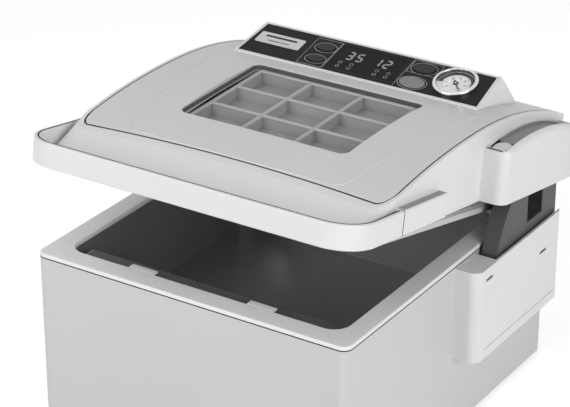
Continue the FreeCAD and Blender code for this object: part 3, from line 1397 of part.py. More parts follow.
def pieces():
    """Every node with its shape, in the photographed pose."""
    made = {
        "body_shell": body_shell(),
        "base_plate": base_plate(),
        "rubber_feet": rubber_feet(),
        "rim_frame": rim_frame(),
        "chamber_well": chamber_well(),
        "seal_bar": seal_bar(),
        "seal_wire": seal_wire(),
        "seal_tape": seal_tape(),
        "lift_cylinders": lift_cylinders(),
        "clip_pins": clip_pins(),
        "lid_frame": opened(lid_frame()),
        "lid_top_cover": opened(lid_top_cover()),
        "handle_bar": opened(handle_bar()),
        "pressure_lid": opened(pressure_lid()),
        "lid_gasket": opened_from_shut(lid_gasket()),
        "seal_pad": opened_from_shut(seal_pad()),
        "pad_holder": opened_from_shut(pad_holder()),
        "panel_housing": opened(panel_housing()),
        "panel_overlay": opened(panel_overlay()),
        "display_lens": opened(display_lens()),
        "label_plate": opened(label_plate()),
        "gauge_case": opened(gauge_case()),
        "gauge_dial": opened(gauge_dial()),
        "gauge_needle": opened(gauge_needle()),
        "gauge_glass": opened(gauge_glass()),
        "control_board": opened(control_board()),
        "pump_mounts": pump_mounts(),
        "pump_head": pump_head(),
        "pump_motor": pump_motor(),
        "motor_shaft": motor_shaft(),
        "motor_fan": motor_fan(),
        "transformer_core": transformer_core(),
        "transformer_coil": transformer_coil(),
        "vacuum_port": vacuum_port(),
        "vacuum_hose": vacuum_hose(),
        "release_valve": release_valve(),
        "power_board": power_board(),
        "board_standoffs": board_standoffs(),
        "power_inlet": power_inlet(),
        "base_screws": base_screws(),
        "lid_switch": lid_switch(),
    }
    for name, (centre, size) in BUTTONS.items():
        made[name] = opened(panel_button(centre, size))
    left_clip, right_clip = clip_places()
    made["bag_clip_left"] = bag_clip(left_clip)
    made["bag_clip_right"] = bag_clip(right_clip)
    for name, shape in (("hinge_box", hinge_box()), ("hinge_arm", opened(hinge_arm())),
                        ("hinge_cover", opened(hinge_cover()))):
        made[name + "_right"] = shape
        made[name + "_left"] = mirrored(shape)
    groups = {
        "hinge_brackets": [hinge_bracket()],
        "hinge_pins": [hinge_pin()],
        "hinge_springs": [hinge_spring()],
        "pin_clips": [pin_clip()],
        "arm_bolts": [opened(bolt) for bolt in arm_bolts()],
        "hood_plugs": [opened(hood_plug())],
        "handle_ends": [opened(handle_end_block())],
    }
    for name, right in groups.items():
        made[name] = Part.makeCompound(right + [mirrored(shape) for shape in right])
    return made


def main():
    os.makedirs("parts", exist_ok=True)
    for name, shape in pieces().items():
        placed = shape.translated(V(0, -ORIGIN_Y, FOOT_H))
        placed.exportStep("parts/" + name + ".step")


main()
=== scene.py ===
import json
import math
from collections import namedtuple

import bmesh
import bpy
from mathutils import Matrix, Vector
from mathutils.bvhtree import BVHTree


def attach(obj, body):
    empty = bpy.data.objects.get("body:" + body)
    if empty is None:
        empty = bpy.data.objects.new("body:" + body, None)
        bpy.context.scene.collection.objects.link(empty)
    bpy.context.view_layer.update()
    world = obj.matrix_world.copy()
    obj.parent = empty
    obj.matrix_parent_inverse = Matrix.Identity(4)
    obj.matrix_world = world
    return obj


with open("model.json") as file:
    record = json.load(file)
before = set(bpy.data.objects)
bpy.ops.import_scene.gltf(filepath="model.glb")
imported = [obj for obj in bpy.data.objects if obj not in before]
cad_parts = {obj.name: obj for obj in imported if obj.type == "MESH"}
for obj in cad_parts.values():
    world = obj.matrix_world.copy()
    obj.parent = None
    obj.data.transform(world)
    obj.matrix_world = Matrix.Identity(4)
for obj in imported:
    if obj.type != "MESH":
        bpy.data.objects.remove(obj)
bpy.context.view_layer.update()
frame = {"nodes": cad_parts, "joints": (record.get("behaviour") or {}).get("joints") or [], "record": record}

# All lengths are in metres and all angles in degrees. Colours are linear.
MM = 0.001
CIRCLE = 360.0
QUARTER = 90.0

# Camera of the photograph
CAMERA_AT = (0.977, -1.544, 1.070)
CAMERA_AZIMUTH = 32.87
CAMERA_ELEVATION = 25.88
CAMERA_LENS = 143.05
SENSOR_WIDTH = 36.0

# Studio: soft boxes as (name, place, target, size, power)
SOFT_BOXES = (
    ("front_light", (-0.55, -1.35, 0.95), (0.0, -0.05, 0.18), 1.1, 11.5),
    ("side_light", (2.25, -0.85, 0.85), (0.0, 0.0, 0.15), 1.5, 32.0),
    ("top_light", (-0.2, 0.1, 2.3), (0.0, 0.0, 0.2), 1.6, 5.0),
)
SKY_COLOUR = (1.0, 1.0, 1.0, 1.0)
SKY_STRENGTH = 0.29
SEEN_STRENGTH = 1.0
FLOOR_SIZE = 6.0
FLOOR_COLOUR = (0.88, 0.88, 0.88, 1.0)
FLOOR_GLOW = 0.55

# Lid: the tilt at which it was photographed, counted from a level handle
LID_TILT = 10.08

# Rays that find a skin's height over the level lid start here
RAY_START = 0.6

# Raised line on the top cover, in the level lid: half width and depth of each point of its left half. Its
# shoulders lie at these shares of its half width and its height.
BEAD_LEFT = ((0.138, 0.046), (0.116, -0.093), (0.1105, -0.126), (0.108, -0.1325), (0.102, -0.1365))
BEAD_W = 1.4 * MM
BEAD_H = 0.45 * MM
BEAD_SINK = 0.15 * MM
BEAD_SHOULDER = (0.5, 0.75)
PATH_STEP = 2.0 * MM

# Dark strip of painted shade in the seam round the top cover: its bowed front, one corner and its rear, in
# the level lid
SEAM_FRONT_Y = -138.2 * MM
SEAM_BOW = 4.0 * MM
SEAM_BOW_HALF = 130.0 * MM
SEAM_BOW_STEPS = 30
SEAM_CORNER = ((0.146, -0.1429), (0.1495, -0.1405), (0.1518, -0.138), (0.1536, -0.134), (0.1549, -0.13),
               (0.1553, -0.126))
SEAM_REAR_Y = 169.6 * MM
SEAM_HALF_W = 0.75 * MM
SEAM_LOOK = 2.3 * MM
SEAM_SINK = 0.25 * MM
SEAM_DEPTH = 1.4 * MM

# Dark rubber edge inside the window
WINDOW_FRONT = (85.5 * MM, -93.0 * MM)
WINDOW_BACK = (88.5 * MM, 35.5 * MM)
WINDOW_R = 8.0 * MM
CORNER_STEPS = 8
EDGE_OUT = -0.1 * MM
EDGE_IN = -1.5 * MM
EDGE_LOOK = 2.0 * MM
EDGE_TOP = 0.9 * MM
EDGE_BOTTOM = 4.2 * MM

# Rounded tops of the clear moulding's ribs, in the level lid
RIB_HALF = 81.0 * MM
RIB_ENDS = (-88.5 * MM, 31.0 * MM)
RIB_CELLS = 3
RIB_TOP_HALF = 2.1 * MM
RIB_TOP_H = 1.5 * MM
RIB_TOP_SINK = 0.7 * MM
RIB_TOP_SIDES = 8

# Handle, in the level lid: painted shade as a dark line along its top, dark seams at its end blocks and grey
# strips on their tops
HANDLE_HALF = 168.5 * MM
HANDLE_FRONT_Y = -209.8 * MM
HANDLE_END_Y = -133.5 * MM
HANDLE_R = 33.0 * MM
HANDLE_SHADE_IN = 3.5 * MM
HANDLE_SHADE_HALF = 0.65 * MM
HANDLE_SHADE_T = 0.08 * MM
HANDLE_SEAM_SHADE = ((163.3 * MM, 199.3 * MM), (168.6 * MM, 221.5 * MM))
HANDLE_SEAM_SHADE_HALF = 0.45 * MM
HANDLE_SEAM_SHADE_R = 1.7 * MM
END_SHADE = ((163.7 * MM, -131.5 * MM), (163.7 * MM, -61.5 * MM))
END_SHADE_HALF = 3.1 * MM

# Dark line of painted shade where the rim lies on the cabinet
CABINET_HALF = 159.0 * MM
CABINET_ENDS = (-186.0 * MM, 172.0 * MM)
CABINET_R = 9.0 * MM
RIM_SHADE_OUT = 0.1 * MM
RIM_SHADE_IN = 0.5 * MM
RIM_SHADE_ZS = (166.7 * MM, 167.7 * MM)

# Painted shade in the grooves on the hinge covers, in the level lid, as (name, finish, from, to): a black
# bed round each plug and grey strips further back; and the dark line of painted shadow in front of each plug
GROOVE_MIDDLE = 169.5 * MM
GROOVE_HALF = 8.9 * MM
GROOVE_SHADES = (("plug_shadow_bed", "rubber_black", 21.2 * MM, 42.5 * MM),
                 ("groove_shade", "shade_grey", 42.5 * MM, 158.5 * MM))
PLUG_SHADOW = ((161.0 * MM, 18.9 * MM), (176.0 * MM, 18.9 * MM))
PLUG_SHADOW_HALF = 1.1 * MM
# Strips of painted shade: how far they sink, how thick they are, and the low walls of the groove strips
SHADE_STRIP_SINK = 0.1 * MM
SHADE_STRIP_T = 0.3 * MM
CHANNEL_WALL_T = 0.3 * MM
CHANNEL_WALL_H = 2.6 * MM

# Black blocks of painted shade, given for the right side: in the arm's recess and in the two slits of the
# hinge box
ARM_RECESS_SHADE = ((0.1762, 0.0895, 0.1755), (0.1772, 0.1175, 0.2155))
SLIT_SHADES = (((0.1815, 0.0057, 0.1539), (0.1823, 0.0183, 0.1561)),
                ((0.1815, 0.1083, 0.1363), (0.1823, 0.1209, 0.1385)))
SHADE_BLOCK_EDGE_R = 0.3 * MM
SHADE_BLOCK_EDGE_STEPS = 2

# Control panel: places are (across, up the slope) from the middle of its front edge
GAUGE_AT = (92.2 * MM, 27.0 * MM)
PRINT_T = 0.06 * MM
OVERLAY_TOP = 0.0
DISPLAY_TOP = -0.2 * MM
LABEL_TOP = 0.8 * MM
DIAL_TOP = -0.2 * MM
DIVIDERS = (-36.0 * MM, 39.0 * MM)
DIVIDER_ENDS = (4.5 * MM, 47.5 * MM)
LINE_W = 0.5 * MM
BUTTON_PLACES = {
    "power_button": ((-48.5 * MM, 34.0 * MM), (19.0 * MM, 11.5 * MM)),
    "mode_button": ((-48.5 * MM, 15.0 * MM), (18.0 * MM, 10.0 * MM)),
    "start_button": ((54.5 * MM, 37.0 * MM), (22.5 * MM, 14.0 * MM)),
    "stop_button": ((54.5 * MM, 14.0 * MM), (25.0 * MM, 15.5 * MM)),
}
BUTTON_FRAME_GAP = 1.6 * MM
BUTTON_FRAME_W = 0.6 * MM
BUTTON_BOXES = (
    ((-50.0 * MM, 25.5 * MM), (27.0 * MM, 42.0 * MM)),
    ((55.0 * MM, 38.0 * MM), (30.0 * MM, 19.5 * MM)),
)
LABEL_AT = (-95.0 * MM, 28.0 * MM)
LABEL_LINES = ((34.0 * MM, 2.6 * MM, 2.8 * MM), (24.0 * MM, 1.0 * MM, -3.6 * MM))

# Dial of the gauge
DIAL_R = 13.2 * MM
DIAL_SWEEP = 270.0
DIAL_START = 225.0
DIAL_TICKS = 31
DIAL_MAJOR = 5
MAJOR_TICK = (2.4 * MM, 0.45 * MM)
MINOR_TICK = (1.3 * MM, 0.25 * MM)
DIAL_NUMBER_R = 8.6 * MM
DIAL_NUMBER_SIZE = 3.0 * MM
DIAL_NUMBER_STEP = 5
# Dark band round the upper part of the dial: painted shade of the deep ring over the dial
DIAL_SHADE = (13.6 * MM, 17.7 * MM)
DIAL_SHADE_ENDS = (-5.0, 185.0)
DIAL_SHADE_STEPS = 36

# Display: digits as (text, left edge, foot, height) and round lamps as (across, up, radius)
DIGITS = (("35", -23.5 * MM, 24.5 * MM, 13.0 * MM), ("12", 5.5 * MM, 24.5 * MM, 13.0 * MM))
DIGIT_WIDTH = 0.55
DIGIT_STROKE = 0.15
DIGIT_GAP = 0.04
DIGIT_PITCH = 0.78
LAMP_ROWS = (13.0 * MM, 19.0 * MM)
LAMP_XS = (-24.0 * MM, -12.0 * MM, 15.0 * MM, 27.0 * MM)
LAMP_R = 2.0 * MM
LAMP_RING = 0.5 * MM
SEGMENTS = {
    "0": "abcdef", "1": "bc", "2": "abged", "3": "abgcd", "4": "fgbc", "5": "afgcd",
    "6": "afgedc", "7": "abc", "8": "abcdefg", "9": "abfgcd",
}
ROUND_SIDES = 40

# Materials
Surface = namedtuple("Surface", "colour roughness metallic spread grain bump wear shine stretch")
EVEN = (1.0, 1.0, 1.0)
BRUSHED_X = (0.02, 1.0, 1.0)
BRUSHED_Z = (1.0, 1.0, 0.02)
SURFACES = {
    "cabinet_grey": Surface(0.60, 0.42, 0.0, 0.03, 1500.0, 0.06, 0.08, 0.4, EVEN),
    "rim_grey": Surface(0.82, 0.30, 0.0, 0.03, 1200.0, 0.02, 0.08, 0.5, EVEN),
    "casing_white": Surface(0.76, 0.32, 0.0, 0.03, 1700.0, 0.04, 0.06, 0.5, EVEN),
    "cover_silver": Surface(0.66, 0.36, 0.1, 0.04, 1900.0, 0.06, 0.08, 0.5, EVEN),
    "arm_grey": Surface(0.085, 0.50, 0.0, 0.10, 1300.0, 0.20, 0.25, 0.3, EVEN),
    "chamber_steel": Surface(0.30, 0.38, 0.6, 0.12, 1400.0, 0.10, 0.15, 0.5, BRUSHED_X),
    "plain_steel": Surface(0.52, 0.30, 1.0, 0.08, 1600.0, 0.08, 0.15, 0.5, BRUSHED_Z),
    "base_steel": Surface(0.05, 0.45, 0.3, 0.10, 1200.0, 0.15, 0.25, 0.4, EVEN),
    "bar_aluminium": Surface(0.58, 0.30, 1.0, 0.07, 1500.0, 0.08, 0.15, 0.5, BRUSHED_X),
    "wire_metal": Surface(0.42, 0.35, 1.0, 0.10, 1500.0, 0.08, 0.10, 0.5, BRUSHED_X),
    # black of real rubber, and also of the painted shade in seams, recesses, slits and grooves
    "rubber_black": Surface(0.010, 0.80, 0.0, 0.15, 1400.0, 0.20, 0.30, 0.05, EVEN),
    "gasket_grey": Surface(0.58, 0.55, 0.0, 0.06, 1400.0, 0.10, 0.06, 0.3, EVEN),
    # grey of the painted shade on the end blocks' tops and in the grooves
    "shade_grey": Surface(0.30, 0.50, 0.0, 0.06, 1500.0, 0.12, 0.10, 0.3, EVEN),
    "panel_black": Surface(0.008, 0.30, 0.0, 0.15, 2200.0, 0.05, 0.20, 0.10, EVEN),
    "label_light": Surface(0.62, 0.40, 0.2, 0.05, 1800.0, 0.06, 0.10, 0.4, BRUSHED_X),
    "button_dark": Surface(0.02, 0.45, 0.0, 0.12, 1700.0, 0.12, 0.25, 0.2, EVEN),
    "button_grey": Surface(0.24, 0.45, 0.0, 0.07, 1700.0, 0.12, 0.15, 0.3, EVEN),
    "ring_chrome": Surface(0.66, 0.14, 1.0, 0.04, 1500.0, 0.02, 0.05, 0.5, EVEN),
    "dial_white": Surface(0.74, 0.50, 0.0, 0.02, 1800.0, 0.04, 0.02, 0.2, EVEN),
    "needle_dark": Surface(0.02, 0.45, 0.0, 0.10, 1800.0, 0.05, 0.10, 0.2, EVEN),
    "pump_alu": Surface(0.42, 0.45, 1.0, 0.10, 900.0, 0.25, 0.20, 0.5, EVEN),
    "motor_black": Surface(0.03, 0.50, 0.2, 0.12, 1000.0, 0.25, 0.25, 0.4, EVEN),
    "core_iron": Surface(0.09, 0.50, 0.7, 0.15, 1200.0, 0.30, 0.20, 0.5, BRUSHED_Z),
    "coil_copper": Surface((0.42, 0.17, 0.06), 0.35, 0.8, 0.15, 1500.0, 0.30, 0.10, 0.5, BRUSHED_X),
    "board_green": Surface((0.02, 0.11, 0.04), 0.40, 0.0, 0.10, 1500.0, 0.06, 0.20, 0.4, EVEN),
    "tape_brown": Surface((0.105, 0.10, 0.095), 0.55, 0.0, 0.12, 1600.0, 0.30, 0.05, 0.3, EVEN),
    "hose_clear": Surface(0.34, 0.30, 0.0, 0.06, 1200.0, 0.08, 0.05, 0.5, EVEN),
    "inlet_black": Surface(0.02, 0.48, 0.0, 0.12, 1500.0, 0.15, 0.25, 0.3, EVEN),
    "rib_light": Surface(0.42, 0.22, 0.0, 0.05, 1500.0, 0.03, 0.04, 0.5, EVEN),
    "print_light": Surface(0.42, 0.45, 0.0, 0.05, 2000.0, 0.04, 0.02, 0.2, EVEN),
    # dark print, and also the dark band of painted shade on the dial
    "print_and_shade_dark": Surface(0.02, 0.50, 0.0, 0.10, 2000.0, 0.04, 0.02, 0.2, EVEN),
}

# Edges: how far they look rounded, how far wear reaches, and how much lighter it makes them
EDGE_R = 0.7 * MM
EDGE_SAMPLES = 4
WEAR_R = 1.6 * MM
WEAR_TURN = 0.8
WEAR_STRENGTH = 0.8
WEAR_LIFT = 2.0

# Patches of tone, sheen and grain on a surface
TONE_SCALE = 9.0
TONE_DETAIL = 4.0
GLOSS_COARSER = 4.0
GLOSS_DETAIL = 2.0
ROUGH_SPREAD = 0.07
GRAIN_DETAIL = 3.0
GRAIN_HEIGHT = 0.08 * MM

# Clear plastic and glass
Clear = namedtuple("Clear", "colour roughness clearness index")
CLEARS = {
    "clear_moulding": Clear(0.60, 0.22, 0.45, 1.49),
    "gauge_glass": Clear(0.97, 0.03, 1.0, 1.2),
    "display_dark": Clear(0.012, 0.25, 0.0, 1.15),
}
CLEAR_TONE_SCALE = 30.0
CLEAR_TONE_SPREAD = (0.94, 1.04)
CLEAR_GLOSS_SCALE = 120.0
CLEAR_GLOSS_SPREAD = (0.6, 1.4)
CLEAR_DETAIL = 2.0
WAVE_SCALE = 90.0
WAVE_DETAIL = 1.0
WAVE_STRENGTH = 0.15
WAVE_HEIGHT = 0.3 * MM

# Places of the colour sockets on a mix node
MIX_FIRST = 6
MIX_SECOND = 7
MIX_RESULT = 2


def joint(name):
    return next(found for found in frame["joints"] if found["name"] == name)


# Places: the level lid and the panel's face


HINGE_AT = Vector(joint("lid_hinge")["pos_m"])
PANEL_NORMAL = Vector(joint("gauge_needle_turn")["axis"])
PANEL_UP = PANEL_NORMAL.cross(Vector((1, 0, 0)))
GAUGE_CENTRE = Vector(joint("gauge_needle_turn")["pos_m"])
PANEL_ORIGIN = GAUGE_CENTRE - Vector((GAUGE_AT[0], 0, 0)) - PANEL_UP * GAUGE_AT[1]


def from_level(point):
    """Where a point of the level lid lies in the photographed pose."""
    turn = Matrix.Rotation(-math.radians(LID_TILT), 3, "X")
    return HINGE_AT + turn @ (Vector(point) - HINGE_AT)


LEVEL_DOWN = from_level((0, 0, -1)) - from_level((0, 0, 0))


def skin(name):
    return BVHTree.FromObject(frame["nodes"][name], bpy.context.evaluated_depsgraph_get())


def level_height(tree, x, y):
    """How high a skin lies over a place of the level lid."""
    distance = tree.ray_cast(from_level((x, y, RAY_START)), LEVEL_DOWN)[3]
    return RAY_START - distance


def on_panel(across, up, out):
    return PANEL_ORIGIN + Vector((across, 0, 0)) + PANEL_UP * up + PANEL_NORMAL * out


# Node trees


def node(tree, kind, **values):
    made = tree.nodes.new(kind)
    for name, value in values.items():
        setattr(made, name, value)
    return made


def noise(tree, vector, scale, detail):
    made = node(tree, "ShaderNodeTexNoise")
    made.inputs["Scale"].default_value = scale
    made.inputs["Detail"].default_value = detail
    tree.links.new(vector, made.inputs["Vector"])
    return made.outputs[0]


def spread_between(tree, value, low, high):
    """A value from 0 to 1 moved to lie from low to high."""
    made = node(tree, "ShaderNodeMapRange")
    made.inputs["To Min"].default_value = low
    made.inputs["To Max"].default_value = high
    tree.links.new(value, made.inputs["Value"])
    return made.outputs[0]


def mixed_colour(tree, share, first, second):
    made = node(tree, "ShaderNodeMix", data_type="RGBA")
    tree.links.new(share, made.inputs[0])
    for index, colour in ((MIX_FIRST, first), (MIX_SECOND, second)):
        if isinstance(colour, bpy.types.NodeSocket):
            tree.links.new(colour, made.inputs[index])
        else:
            made.inputs[index].default_value = colour
    return made.outputs[MIX_RESULT]


def rgba(colour, factor):
    channels = colour if isinstance(colour, tuple) else (colour,) * 3
    return tuple(min(1.0, channel * factor) for channel in channels) + (1.0,)


def rounded_normal(tree, radius):
    made = node(tree, "ShaderNodeBevel", samples=EDGE_SAMPLES)
    made.inputs["Radius"].default_value = radius
    return made.outputs["Normal"]


def edge_share(tree):
    """High where the surface turns sharply: the edges that hands and cloths wear first."""
    geometry = node(tree, "ShaderNodeNewGeometry")
    alike = node(tree, "ShaderNodeVectorMath", operation="DOT_PRODUCT")
    tree.links.new(rounded_normal(tree, WEAR_R), alike.inputs[0])
    tree.links.new(geometry.outputs["Normal"], alike.inputs[1])
    made = node(tree, "ShaderNodeMapRange")
    made.inputs["From Min"].default_value = 1.0
    made.inputs["From Max"].default_value = WEAR_TURN
    made.inputs["To Max"].default_value = WEAR_STRENGTH
    tree.links.new(alike.outputs["Value"], made.inputs["Value"])
    return made.outputs[0]


def surface_tree(name):
    made = bpy.data.materials.new(name)
    made.use_nodes = True
    tree = made.node_tree
    tree.nodes.clear()
    out = node(tree, "ShaderNodeOutputMaterial")
    shader = node(tree, "ShaderNodeBsdfPrincipled")
    tree.links.new(shader.outputs[0], out.inputs["Surface"])
    coords = node(tree, "ShaderNodeTexCoord").outputs["Object"]
    return made, tree, shader, coords


def stretched(tree, coords, stretch):
    made = node(tree, "ShaderNodeMapping")
    made.inputs["Scale"].default_value = stretch
    tree.links.new(coords, made.inputs["Vector"])
    return made.outputs[0]


def bumped(tree, strength, height):
    made = node(tree, "ShaderNodeBump")
    made.inputs["Strength"].default_value = strength
    made.inputs["Distance"].default_value = height
    return made


def grain_normal(tree, vector, scale, strength):
    bump = bumped(tree, strength, GRAIN_HEIGHT)
    tree.links.new(noise(tree, vector, scale, GRAIN_DETAIL), bump.inputs["Height"])
    tree.links.new(rounded_normal(tree, EDGE_R), bump.inputs["Normal"])
    return bump.outputs[0]


def surface(name, look):
    """Moulded, painted or metal surface with tone, sheen and grain that vary, and worn edges."""
    made, tree, shader, coords = surface_tree(name)
    grain = stretched(tree, coords, look.stretch)
    tone = noise(tree, coords, TONE_SCALE, TONE_DETAIL)
    darker = rgba(look.colour, 1.0 - look.spread)
    lighter = rgba(look.colour, 1.0 + look.spread)
    body = mixed_colour(tree, tone, darker, lighter)
    worn = rgba(look.colour, 1.0 + WEAR_LIFT * look.wear)
    tree.links.new(mixed_colour(tree, edge_share(tree), body, worn), shader.inputs["Base Color"])
    patches = noise(tree, grain, look.grain / GLOSS_COARSER, GLOSS_DETAIL)
    gloss = spread_between(tree, patches, look.roughness - ROUGH_SPREAD, look.roughness + ROUGH_SPREAD)
    tree.links.new(gloss, shader.inputs["Roughness"])
    shader.inputs["Metallic"].default_value = look.metallic
    shader.inputs["Specular IOR Level"].default_value = look.shine
    tree.links.new(grain_normal(tree, grain, look.grain, look.bump), shader.inputs["Normal"])
    return made


def clear_surface(name, look):
    """Clear plastic or glass with faint waves in its surface."""
    made, tree, shader, coords = surface_tree(name)
    tone = noise(tree, coords, CLEAR_TONE_SCALE, CLEAR_DETAIL)
    darker, lighter = (rgba(look.colour, factor) for factor in CLEAR_TONE_SPREAD)
    tree.links.new(mixed_colour(tree, tone, darker, lighter), shader.inputs["Base Color"])
    smoother, rougher = (look.roughness * factor for factor in CLEAR_GLOSS_SPREAD)
    gloss = spread_between(tree, noise(tree, coords, CLEAR_GLOSS_SCALE, CLEAR_DETAIL), smoother, rougher)
    tree.links.new(gloss, shader.inputs["Roughness"])
    shader.inputs["Transmission Weight"].default_value = look.clearness
    shader.inputs["IOR"].default_value = look.index
    bump = bumped(tree, WAVE_STRENGTH, WAVE_HEIGHT)
    tree.links.new(noise(tree, coords, WAVE_SCALE, WAVE_DETAIL), bump.inputs["Height"])
    tree.links.new(bump.outputs[0], shader.inputs["Normal"])
    return made


def all_materials():
    made = {slot: surface(slot, look) for slot, look in SURFACES.items()}
    made.update((slot, clear_surface(slot, look)) for slot, look in CLEARS.items())
    return made


def dress_cad(materials):
    for subpart in frame["record"]["subparts"]:
        mesh = frame["nodes"][subpart["node"]].data
        mesh.materials.clear()
        mesh.materials.append(materials[subpart["material_slot"]])


# Pieces that the solids leave out


def add_piece(name, mesh, body, material):
    made = bpy.data.objects.new(name, mesh)
    bpy.context.scene.collection.objects.link(made)
    mesh.materials.append(material)
    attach(made, body)


def add_prism(target, corners, out):
    """Thin printed patch on the panel's face over a closed outline of (across, up) points."""
    low = [target.verts.new(on_panel(x, up, out)) for x, up in corners]
    high = [target.verts.new(on_panel(x, up, out + PRINT_T)) for x, up in corners]
    target.faces.new(high)
    target.faces.new(low[::-1])
    for index in range(len(corners)):
        after = (index + 1) % len(corners)
        target.faces.new((low[index], low[after], high[after], high[index]))


def add_ring(target, outer, inner, out):
    """Thin printed band on the panel's face between two outlines with as many points."""
    rows = []
    for corners in (outer, inner):
        low = [target.verts.new(on_panel(x, up, out)) for x, up in corners]
        high = [target.verts.new(on_panel(x, up, out + PRINT_T)) for x, up in corners]
        rows.append((low, high))
    (outer_low, outer_high), (inner_low, inner_high) = rows
    count = len(outer)
    for index in range(count):
        after = (index + 1) % count
        target.faces.new((outer_high[index], outer_high[after], inner_high[after], inner_high[index]))
        target.faces.new((outer_low[after], outer_low[index], inner_low[index], inner_low[after]))
        target.faces.new((outer_low[index], outer_low[after], outer_high[after], outer_high[index]))
        target.faces.new((inner_low[after], inner_low[index], inner_high[index], inner_high[after]))


def bar(centre, width, height):
    """Corners of an upright rectangle."""
    x, up = centre
    half_w = width / 2
    half_h = height / 2
    signs = ((-1, -1), (1, -1), (1, 1), (-1, 1))
    return [(x + right * half_w, up + rise * half_h) for right, rise in signs]


def ellipse(centre, width, height):
    points = []
    for step in range(ROUND_SIDES):
        turn = math.radians(CIRCLE * step / ROUND_SIDES)
        points.append((centre[0] + width / 2 * math.cos(turn), centre[1] + height / 2 * math.sin(turn)))
    return points


def turned_bar(centre, radius, degrees, length, width):
    """Tick that points at centre, its outer end at radius."""
    turn = math.radians(degrees)
    along = (math.cos(turn), math.sin(turn))
    across = (-along[1], along[0])
    points = []
    for reach, side in ((radius - length, -1), (radius, -1), (radius, 1), (radius - length, 1)):
        points.append((centre[0] + along[0] * reach + across[0] * side * width / 2,
                       centre[1] + along[1] * reach + across[1] * side * width / 2))
    return points


def finished(target, name):
    bmesh.ops.recalc_face_normals(target, faces=target.faces)
    mesh = bpy.data.meshes.new(name)
    target.to_mesh(mesh)
    target.free()
    return mesh


def dial_angle(step):
    return DIAL_START - DIAL_SWEEP * step / (DIAL_TICKS - 1)


def on_dial(reach, degrees):
    """Place on the panel of a point of the dial."""
    turn = math.radians(degrees)
    return GAUGE_AT[0] + reach * math.cos(turn), GAUGE_AT[1] + reach * math.sin(turn)


def dial_band():
    """Points of the dark band of painted shade round the upper half of the dial, outer edge first and inner
    edge back.
    """
    inner, outer = DIAL_SHADE
    first, last = DIAL_SHADE_ENDS
    turns = []
    for step in range(DIAL_SHADE_STEPS + 1):
        turns.append(first + (last - first) * step / DIAL_SHADE_STEPS)
    return [on_dial(outer, turn) for turn in turns] + [on_dial(inner, turn) for turn in reversed(turns)]


def dial_ticks():
    target = bmesh.new()
    # the dark band of painted shade goes in with the ticks
    add_prism(target, dial_band(), DIAL_TOP)
    for step in range(DIAL_TICKS):
        length, width = MINOR_TICK if step % DIAL_MAJOR else MAJOR_TICK
        add_prism(target, turned_bar(GAUGE_AT, DIAL_R, dial_angle(step), length, width), DIAL_TOP)
    return finished(target, "dial_ticks")


def text_mesh(text, size):
    curve = bpy.data.curves.new("dial_text", "FONT")
    curve.body = text
    curve.size = size
    curve.align_x = "CENTER"
    curve.align_y = "CENTER"
    curve.extrude = PRINT_T / 2
    holder = bpy.data.objects.new("dial_text", curve)
    mesh = bpy.data.meshes.new_from_object(holder)
    bpy.data.objects.remove(holder)
    bpy.data.curves.remove(curve)
    return mesh


def dial_numbers():
    target = bmesh.new()
    basis = Matrix((Vector((1, 0, 0)), PANEL_UP, PANEL_NORMAL)).transposed().to_4x4()
    for step in range(0, DIAL_TICKS, DIAL_NUMBER_STEP):
        place = on_panel(*on_dial(DIAL_NUMBER_R, dial_angle(step)), DIAL_TOP + PRINT_T / 2)
        mesh = text_mesh(str(step), DIAL_NUMBER_SIZE)
        mesh.transform(Matrix.Translation(place) @ basis)
        target.from_mesh(mesh)
        bpy.data.meshes.remove(mesh)
    return finished(target, "dial_numbers")


def digit_bars(digit, left, foot, height):
    """The lit bars of one digit."""
    width = height * DIGIT_WIDTH
    stroke = height * DIGIT_STROKE
    gap = height * DIGIT_GAP
    middle = (left + width / 2, foot + height / 2)
    half = (width - stroke) / 2
    quarter = (height - stroke) / 4
    flat = (width - stroke - 2 * gap, stroke)
    upright = (stroke, height / 2 - stroke / 2 - 2 * gap)
    places = {
        "a": ((0, 2 * quarter), flat), "g": ((0, 0), flat), "d": ((0, -2 * quarter), flat),
        "f": ((-half, quarter), upright), "b": ((half, quarter), upright),
        "e": ((-half, -quarter), upright), "c": ((half, -quarter), upright),
    }
    for segment in SEGMENTS[digit]:
        (right, up), size = places[segment]
        yield bar((middle[0] + right, middle[1] + up), *size)


def display_marks():
    target = bmesh.new()
    for text, left, foot, height in DIGITS:
        for index, digit in enumerate(text):
            for corners in digit_bars(digit, left + index * height * DIGIT_PITCH, foot, height):
                add_prism(target, corners, DISPLAY_TOP)
    for up in LAMP_ROWS:
        for x in LAMP_XS:
            outer = ellipse((x, up), 2 * LAMP_R, 2 * LAMP_R)
            inner = ellipse((x, up), 2 * (LAMP_R - LAMP_RING), 2 * (LAMP_R - LAMP_RING))
            add_ring(target, outer, inner, DISPLAY_TOP)
    return finished(target, "display_marks")


def panel_lines():
    target = bmesh.new()
    low, high = DIVIDER_ENDS
    for x in DIVIDERS:
        add_prism(target, bar((x, (low + high) / 2), LINE_W, high - low), OVERLAY_TOP)
    for centre, (width, height) in BUTTON_PLACES.values():
        inner = ellipse(centre, width + 2 * BUTTON_FRAME_GAP, height + 2 * BUTTON_FRAME_GAP)
        outer_gap = 2 * (BUTTON_FRAME_GAP + BUTTON_FRAME_W)
        add_ring(target, ellipse(centre, width + outer_gap, height + outer_gap), inner, OVERLAY_TOP)
    for centre, (width, height) in BUTTON_BOXES:
        inner = bar(centre, width - 2 * LINE_W, height - 2 * LINE_W)
        add_ring(target, bar(centre, width, height), inner, OVERLAY_TOP)
    return finished(target, "panel_lines")


def label_lines():
    target = bmesh.new()
    for width, height, lift in LABEL_LINES:
        add_prism(target, bar((LABEL_AT[0], LABEL_AT[1] + lift), width, height), LABEL_TOP)
    return finished(target, "label_lines")


